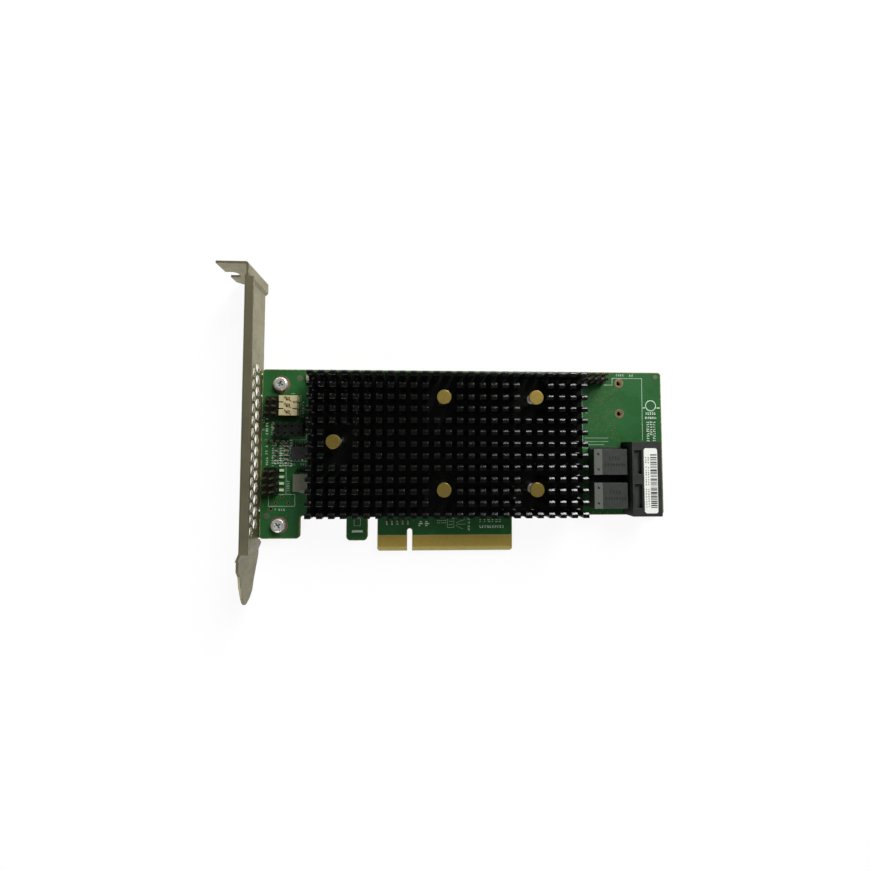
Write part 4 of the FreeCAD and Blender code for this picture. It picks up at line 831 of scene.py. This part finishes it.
# Copper rings. Each is its outer and inner radius and its number of sides, and each place is
# measured from the board's left end.
ringSizes = {"rise": 0.035, "screw": (3.35, 1.62, 40), "spare": (1.8, 1.05, 40),
             "dot": (0.62, 0.36, 20), "wideDot": (0.85, 0.5, 24), "edgeDot": (0.4, 0.12, 14),
             "plain": (2.15, 1.85, 40)}
ringPlaces = {"dot": [(8.1, 20.6), (5.88, 18.14), (10.61, 18.13)], "wideDot": [(4.06, 15.95)],
              "edgeDot": [(127.2 + 2.9 * index, 14.15) for index in range(4)],
              "plain": (150.97, 55.77)}


# A flat washer of foil, made by insetting a disc and lifting what is left.
def ring(name, x, y, kind, base=0.0, rise=ringSizes["rise"]):
    outer, inner, sides = ringSizes[kind]
    deselectAll()
    bpy.ops.mesh.primitive_circle_add(vertices=sides, radius=outer * mm, fill_type="NGON",
                                      location=(x * mm, y * mm, base * mm))
    piece = settle(bpy.context.object, name)
    startEdit(piece)
    bpy.ops.mesh.inset(thickness=(outer - inner) * mm, depth=0)
    bpy.ops.mesh.delete(type="FACE")
    bpy.ops.mesh.select_all(action="SELECT")
    bpy.ops.mesh.extrude_region_move(TRANSFORM_OT_translate={"value": (0, 0, rise * mm)})
    backToObject()
    turnOutward(piece)
    return piece


screwBoxes = solidBoxes("bracket_screws")
spares = next(mount for mount in frame["record"]["mounts"] if mount["name"] == "spare_holes")
spareX, spareY = spares["pos_m"][0] / mm, spares["pos_m"][1] / mm
spareHalf = spares["dims"]["spacing_y_mm"] / 2
rings = [ring("screwRing", *centreOf(*box), "screw") for box in screwBoxes]
for y in (spareY - spareHalf, spareY + spareHalf):
    rings.append(ring("spareRing", spareX, y, "spare"))
    rings.append(ring("spareRingUnder", spareX, y, "spare", boardUnder - ringSizes["rise"]))
for kind in ("dot", "wideDot", "edgeDot"):
    rings += [ring("dotRing", x + boardLeft, y, kind) for x, y in ringPlaces[kind]]
dress(joinPieces(rings, "copper_rings"), "bareCopper")
dress(ring("plain_ring", ringPlaces["plain"][0] + boardLeft, ringPlaces["plain"][1], "plain",
           rise=inkSizes["rise"]), "whiteInk")


# Stepped discs: dark spots in the small rings, painted shade standing in for the shaded inside
# of holes that the board lacks, and the fiducials. Each disc is its place, its radius and how far
# its middle is set in.
discSizes = {
    "hole_shade_spots": {"depth": 0.02, "sides": 20, "raised": -0.004,
                   "discs": [(x, y, radius, radius * 0.3)
                             for kind, radius in (("dot", 0.33), ("wideDot", 0.5))
                             for x, y in ringPlaces[kind]]},
    "fiducials": {"depth": 0.03, "sides": 32, "raised": 0.012,
                  "discs": [(14.1, 65.6, 1.15, 0.55), (2.6, 13.2, 1.15, 0.55),
                            (153.1, 67.1, 0.85, 0.55)]},
}


def makeDiscs(name, finish):
    sizes = discSizes[name]
    discs = []
    for x, y, radius, rim in sizes["discs"]:
        disc = rod("disc", (x + boardLeft, y, sizes["depth"] / 2), radius, sizes["depth"],
                   sizes["sides"])
        insetTop(disc, rim, sizes["raised"])
        discs.append(disc)
    dress(joinPieces(discs, name), finish)


makeDiscs("hole_shade_spots", "holeShade")
makeDiscs("fiducials", "dullTin")
print("rings, spots and fiducials made")


# Solder on the small parts.
solderSizes = {"share": 0.24, "over": 0.03, "padReach": 0.3, "padOver": 0.05,
               "padRise": 0.06, "softened": 0.18}


# A cap round each end of every small part, and the pad of solder that it stands on.
def makeSolder():
    sizes = solderSizes
    template = unitBlock("solderCap", -500)
    bevelWhere(template, lambda co: co.z > 0.9, sizes["softened"], 2)
    places = []
    for lowest, highest in solidBoxes("ceramic_capacitors") + solidBoxes("chip_resistors"):
        spanX, spanY, tall = (b - a for a, b in zip(lowest, highest))
        alongX = spanX >= spanY
        below = highest[2] < 0
        base = boardUnder if below else 0
        flip = Matrix.Diagonal((1, 1, -1 if below else 1, 1))
        middle = Matrix.Translation(Vector((*centreOf(lowest, highest), base)) * mm)
        span, width = (spanX, spanY) if alongX else (spanY, spanX)
        covered = span * sizes["share"]
        start = Matrix.Translation(Vector((span / 2 - covered, 0, 0)) * mm)
        cap = (covered + sizes["over"], width + 2 * sizes["over"], tall + sizes["over"])
        pad = (covered + sizes["padReach"], width + 2 * sizes["padOver"], sizes["padRise"])
        for turn in (0, math.pi):
            angle = turn + (0 if alongX else math.pi / 2)
            for extent in (cap, pad):
                places.append(middle @ flip @ Matrix.Rotation(angle, 4, "Z") @ start
                              @ Matrix.Diagonal((*(side * mm for side in extent), 1)))
    solder = stamp(template, "solder_ends", places)
    turnOutward(solder)
    dress(solder, "tin")


makeSolder()
print("solder made")


# Bracket screws.
screwSizes = {"sides": 48, "edge": 0.6, "edgeSteps": 6, "edgeProfile": 0.6, "rim": 0.25,
              "crown": 0.03, "recess": 3.3, "blade": 0.85, "recessDepth": 1.3,
              "recessTaper": (0.5, 0.6, 1), "turns": (0.9, 0.35), "shank": 1.43,
              "shankSides": 32, "shankGap": 0.04, "shankBevel": 0.25}


# Pan heads with a cross recess, each in place of the plainer solid.
def makeScrews():
    sizes = screwSizes
    pieces = []
    for (lowest, highest), turn in zip(screwBoxes, sizes["turns"]):
        cx, cy = centreOf(lowest, highest)
        top, foot = highest[2], lowest[2]
        radius = (highest[0] - lowest[0]) / 2
        head = rod("screwHead", (cx, cy, top / 2), radius, top, sizes["sides"])
        bevelWhere(head, lambda co: co.z > (top - 0.001) * mm, sizes["edge"] * mm,
                   sizes["edgeSteps"], sizes["edgeProfile"])
        insetTop(head, sizes["rim"], sizes["crown"])
        for extra in (0, math.pi / 2):
            long, wide = sizes["recess"] / 2, sizes["blade"] / 2
            blade = block("blade", (cx - long, cy - wide, top - sizes["recessDepth"]),
                          (cx + long, cy + wide, top + 1))
            selectWhere(blade, lambda face: face.normal.z < -upright)
            bpy.ops.transform.resize(value=sizes["recessTaper"],
                                     center_override=(cx * mm, cy * mm, 0))
            bpy.ops.mesh.select_all(action="SELECT")
            bpy.ops.transform.rotate(value=turn + extra, orient_axis="Z",
                                     center_override=(cx * mm, cy * mm, 0))
            backToObject()
            applyModifier(head, "BOOLEAN", object=blade, operation="DIFFERENCE",
                          solver="EXACT")
            bpy.data.objects.remove(blade)
        gap = sizes["shankGap"]
        shank = rod("shank", (cx, cy, (foot - gap) / 2), sizes["shank"], -foot - gap,
                    sizes["shankSides"])
        bevelWhere(shank, lambda co: co.z < (foot + 0.1) * mm, sizes["shankBevel"] * mm, 2)
        pieces += [head, shank]
    screws = joinPieces(pieces, "cross_recess_screws")
    smooth(screws, 30)
    dress(screws, "screwSteel", "bracket_screws")


makeScrews()
print("screws made")


# Springs under the push pin heads.
springSizes = {"wire": 0.3, "sides": 10, "turns": 4.5, "steps": 110}


# Round wire wound by the Screw modifier, one spring for each push pin.
def makeSprings():
    sizes = springSizes
    wire = sizes["wire"]
    pieces = []
    for lowest, highest in solidBoxes("push_pin_springs"):
        middle = (highest[0] - lowest[0]) / 2 - wire
        deselectAll()
        bpy.ops.mesh.primitive_circle_add(vertices=sizes["sides"], radius=wire * mm,
                                          location=(middle * mm, 0, 0),
                                          rotation=(math.pi / 2, 0, 0))
        coil = settle(bpy.context.object, "coil")
        travel = highest[2] - lowest[2] - 2 * wire
        applyModifier(coil, "SCREW", axis="Z", angle=math.tau * sizes["turns"],
                      screw_offset=travel * mm, steps=sizes["steps"],
                      render_steps=sizes["steps"], use_smooth_shade=True,
                      use_normal_calculate=True)
        startEdit(coil, "EDGE", "DESELECT")
        bpy.ops.mesh.select_non_manifold(extend=False)
        bpy.ops.mesh.edge_face_add()
        backToObject()
        turnOutward(coil)
        centre = (*centreOf(lowest, highest), lowest[2] + wire)
        coil.data.transform(Matrix.Translation(Vector(centre) * mm))
        pieces.append(coil)
    springs = joinPieces(pieces, "coil_springs")
    smooth(springs, 60)
    dress(springs, "springSteel", "push_pin_springs")


makeSprings()
print("springs made")


# Slanted contact leaves across the windows of the cream socket.
bladeSizes = {"length": 3.0, "width": 0.74, "sheet": 0.14, "turn": -38.0, "rise": 0.06,
              "tilt": 6.0, "taper": 0.6, "softened": 0.04, "stemRim": 0.08,
              "stemCrown": 0.05}


def makeSocketBlades():
    sizes = bladeSizes
    base = high("cream_socket").z + sizes["rise"]
    pieces = []
    for lowest, highest in solidBoxes("cream_socket_contacts"):
        leaf = block("leaf", (-sizes["length"] / 2, -sizes["width"] / 2, 0),
                     (sizes["length"] / 2, sizes["width"] / 2, sizes["sheet"]))
        selectWhere(leaf, lambda face: abs(face.normal.x) > upright)
        bpy.ops.transform.resize(value=(1, sizes["taper"], 1), center_override=(0, 0, 0))
        bpy.ops.mesh.select_all(action="SELECT")
        bpy.ops.mesh.bevel(offset=sizes["softened"] * mm, segments=2, affect="EDGES")
        backToObject()
        centre = (*centreOf(lowest, highest), base)
        leaf.data.transform(Matrix.Translation(Vector(centre) * mm)
                            @ Matrix.Rotation(math.radians(sizes["turn"]), 4, "Z")
                            @ Matrix.Rotation(math.radians(sizes["tilt"]), 4, "Y"))
        stem = block("stem", lowest, (highest[0], highest[1], base))
        insetTop(stem, sizes["stemRim"], sizes["stemCrown"])
        pieces += [leaf, stem]
    blades = joinPieces(pieces, "socket_blades")
    smooth(blades, 30)
    dress(blades, "agedBrass", "cream_socket_contacts")


makeSocketBlades()
print("socket contacts made")


# Label.
labelSizes = {"barStart": 2.4, "barLength": 2.45, "margin": 2.2, "cellStart": 0.45,
              "cellHeight": 1.5, "cellPitch": 0.9, "cellStroke": 0.34, "barSeed": 21,
              "cellSeed": 22, "gaps": 0.06,
              "bars": (0.2, 0.28, 0.38, 0.5), "spaces": (0.16, 0.22, 0.32, 0.42)}


# Plain bars down one side of the label and unreadable cells down the other.
def makeLabelPrint():
    sizes = labelSizes
    lowest, highest = low("barcode_label"), high("barcode_label")
    left = lowest.x - boardLeft
    draw = random.Random(sizes["barSeed"])
    bars = []
    start = left + sizes["barStart"]
    y = lowest.y + sizes["margin"]
    while y < highest.y - sizes["margin"]:
        thick = draw.choice(sizes["bars"])
        bars.append(((start, y), (start + sizes["barLength"], y), thick))
        y += thick + draw.choice(sizes["spaces"])
    count = int((highest.y - lowest.y - 2 * sizes["margin"]) / sizes["cellPitch"])
    bars += cellRow(left + sizes["cellStart"], lowest.y + sizes["margin"], count,
                    sizes["cellPitch"], sizes["cellHeight"], sizes["cellStroke"],
                    sizes["cellSeed"], "Y", sizes["gaps"])
    printStrokes("label_bars", bars, highest.z, "darkInk")


makeLabelPrint()
print("label printed")


# Floor, backdrop light and lamps. Floor is its tint, as for the board's mask.
stageLook = {
    "floorHalf": 3.0, "floorGap": 0.02, "floor": (4.0, 0.3, (0.9, 0.9, 0.9), (0.86, 0.86, 0.86)),
    "floorRoughness": 0.9, "floorSpecular": 0.1, "shadowFoot": 16.0,
    "paintedShadowTone": (0.05, 0.03, 0.015), "glowShare": 0.92, "sky": (0.95, 0.97, 1.0),
    "ceiling": 0.03, "horizon": 0.3, "skyStep": (0.1, 0.6),
}
white = (1, 1, 1, 1)


# Mixes two shaders into a material's or a world's output.
def mixInto(tree, outputKind, amount, first, second):
    mix = addNode(tree, "MixShader", {0: amount, 1: first.outputs[0], 2: second.outputs[0]})
    plug(tree, nodeOf(tree, outputKind), {0: mix.outputs[0]})


# Where a point lies under the board, past the row of edge contacts: the area of the painted
# shadow on the floor.
def underBoard(tree, place):
    spot = axesOf(tree, place)
    return product(tree, calculate(tree, "GREATER_THAN", spot[0], boardLow.x * mm),
                   calculate(tree, "LESS_THAN", spot[0], boardHigh.x * mm),
                   calculate(tree, "GREATER_THAN", spot[1], stageLook["shadowFoot"] * mm),
                   calculate(tree, "LESS_THAN", spot[1], boardHigh.y * mm))


# White to the camera, to mirrors and through glass, with the real shadow mixed in; under the
# board a painted shadow instead.
def makeFloor():
    look = stageLook
    deselectAll()
    floorHeight = cadBounds[0][2] - look["floorGap"] * mm
    bpy.ops.mesh.primitive_plane_add(size=look["floorHalf"] * 2, location=(0, 0, floorHeight))
    floor = bpy.context.object
    floor.name = "floor"
    material, tree, shader, place = startMaterial("floorWhite")
    tint = unevenTint(tree, place, *look["floor"])
    # Painted shadow: under the board the floor is painted dark brown and gets no white glow, and
    # the holes in the board show it.
    covered = underBoard(tree, place)
    ground = blend(tree, covered, tint["Color"], color(look["paintedShadowTone"]))
    plug(tree, shader, {"Base Color": ground, "Roughness": look["floorRoughness"],
                        "Specular IOR Level": look["floorSpecular"]})
    glow = addNode(tree, "Emission", {"Color": white, "Strength": 1.0})
    rays = addNode(tree, "LightPath").outputs
    seen = calculate(tree, "MAXIMUM", rays["Is Camera Ray"], rays["Is Glossy Ray"],
                     rays["Is Transmission Ray"])
    amount = product(tree, seen, look["glowShare"], calculate(tree, "SUBTRACT", 1.0, covered))
    mixInto(tree, "OUTPUT_MATERIAL", amount, shader, glow)
    floor.data.materials.append(material)


# A dark ceiling over a paler horizon, and white behind the card.
def makeWorld():
    look = stageLook
    world = bpy.data.worlds.new("studio")
    scene.world = world
    world.use_nodes = True
    tree = world.node_tree
    lookUp = axesOf(tree, addNode(tree, "TexCoord").outputs["Generated"])[2]
    strength = between(tree, lookUp, *look["skyStep"], look["horizon"], look["ceiling"])
    background = plug(tree, nodeOf(tree, "BACKGROUND"),
                      {"Color": color(look["sky"]), "Strength": strength})
    backdrop = addNode(tree, "Background", {"Color": white, "Strength": 1.0})
    rays = addNode(tree, "LightPath").outputs
    seen = calculate(tree, "MAXIMUM", rays["Is Camera Ray"], rays["Is Transmission Ray"])
    mixInto(tree, "OUTPUT_WORLD", seen, background, backdrop)


# Each lamp's place in metres, and its settings: width, height, watts and colour.
lamps = {
    "overheadSoftbox": ((0.62, 0.8, 0.75), {"size": 0.6, "size_y": 0.6, "energy": 13.0,
                                            "color": (1.0, 0.98, 0.95)}),
    "windowStrip": ((0.56, 1.1, 0.55), {"size": 0.36, "size_y": 1.0, "energy": 22.0,
                                        "color": (0.97, 0.98, 1.0)}),
    "lowerFill": ((-0.45, -0.8, 0.7), {"size": 0.6, "size_y": 0.6, "energy": 7.0}),
}
cardMiddle = Vector((0.01, 0.04, 0.0))


def lamp(name, place, settings):
    data = setAll(bpy.data.lights.new(name, "AREA"), {"shape": "RECTANGLE", **settings})
    light = bpy.data.objects.new(name, data)
    scene.collection.objects.link(light)
    light.location = place
    light.rotation_mode = "QUATERNION"
    light.rotation_quaternion = (cardMiddle - Vector(place)).to_track_quat("-Z", "Y")


makeFloor()
makeWorld()
for lampName, settings in lamps.items():
    lamp(lampName, *settings)
print("stage and lamps set")
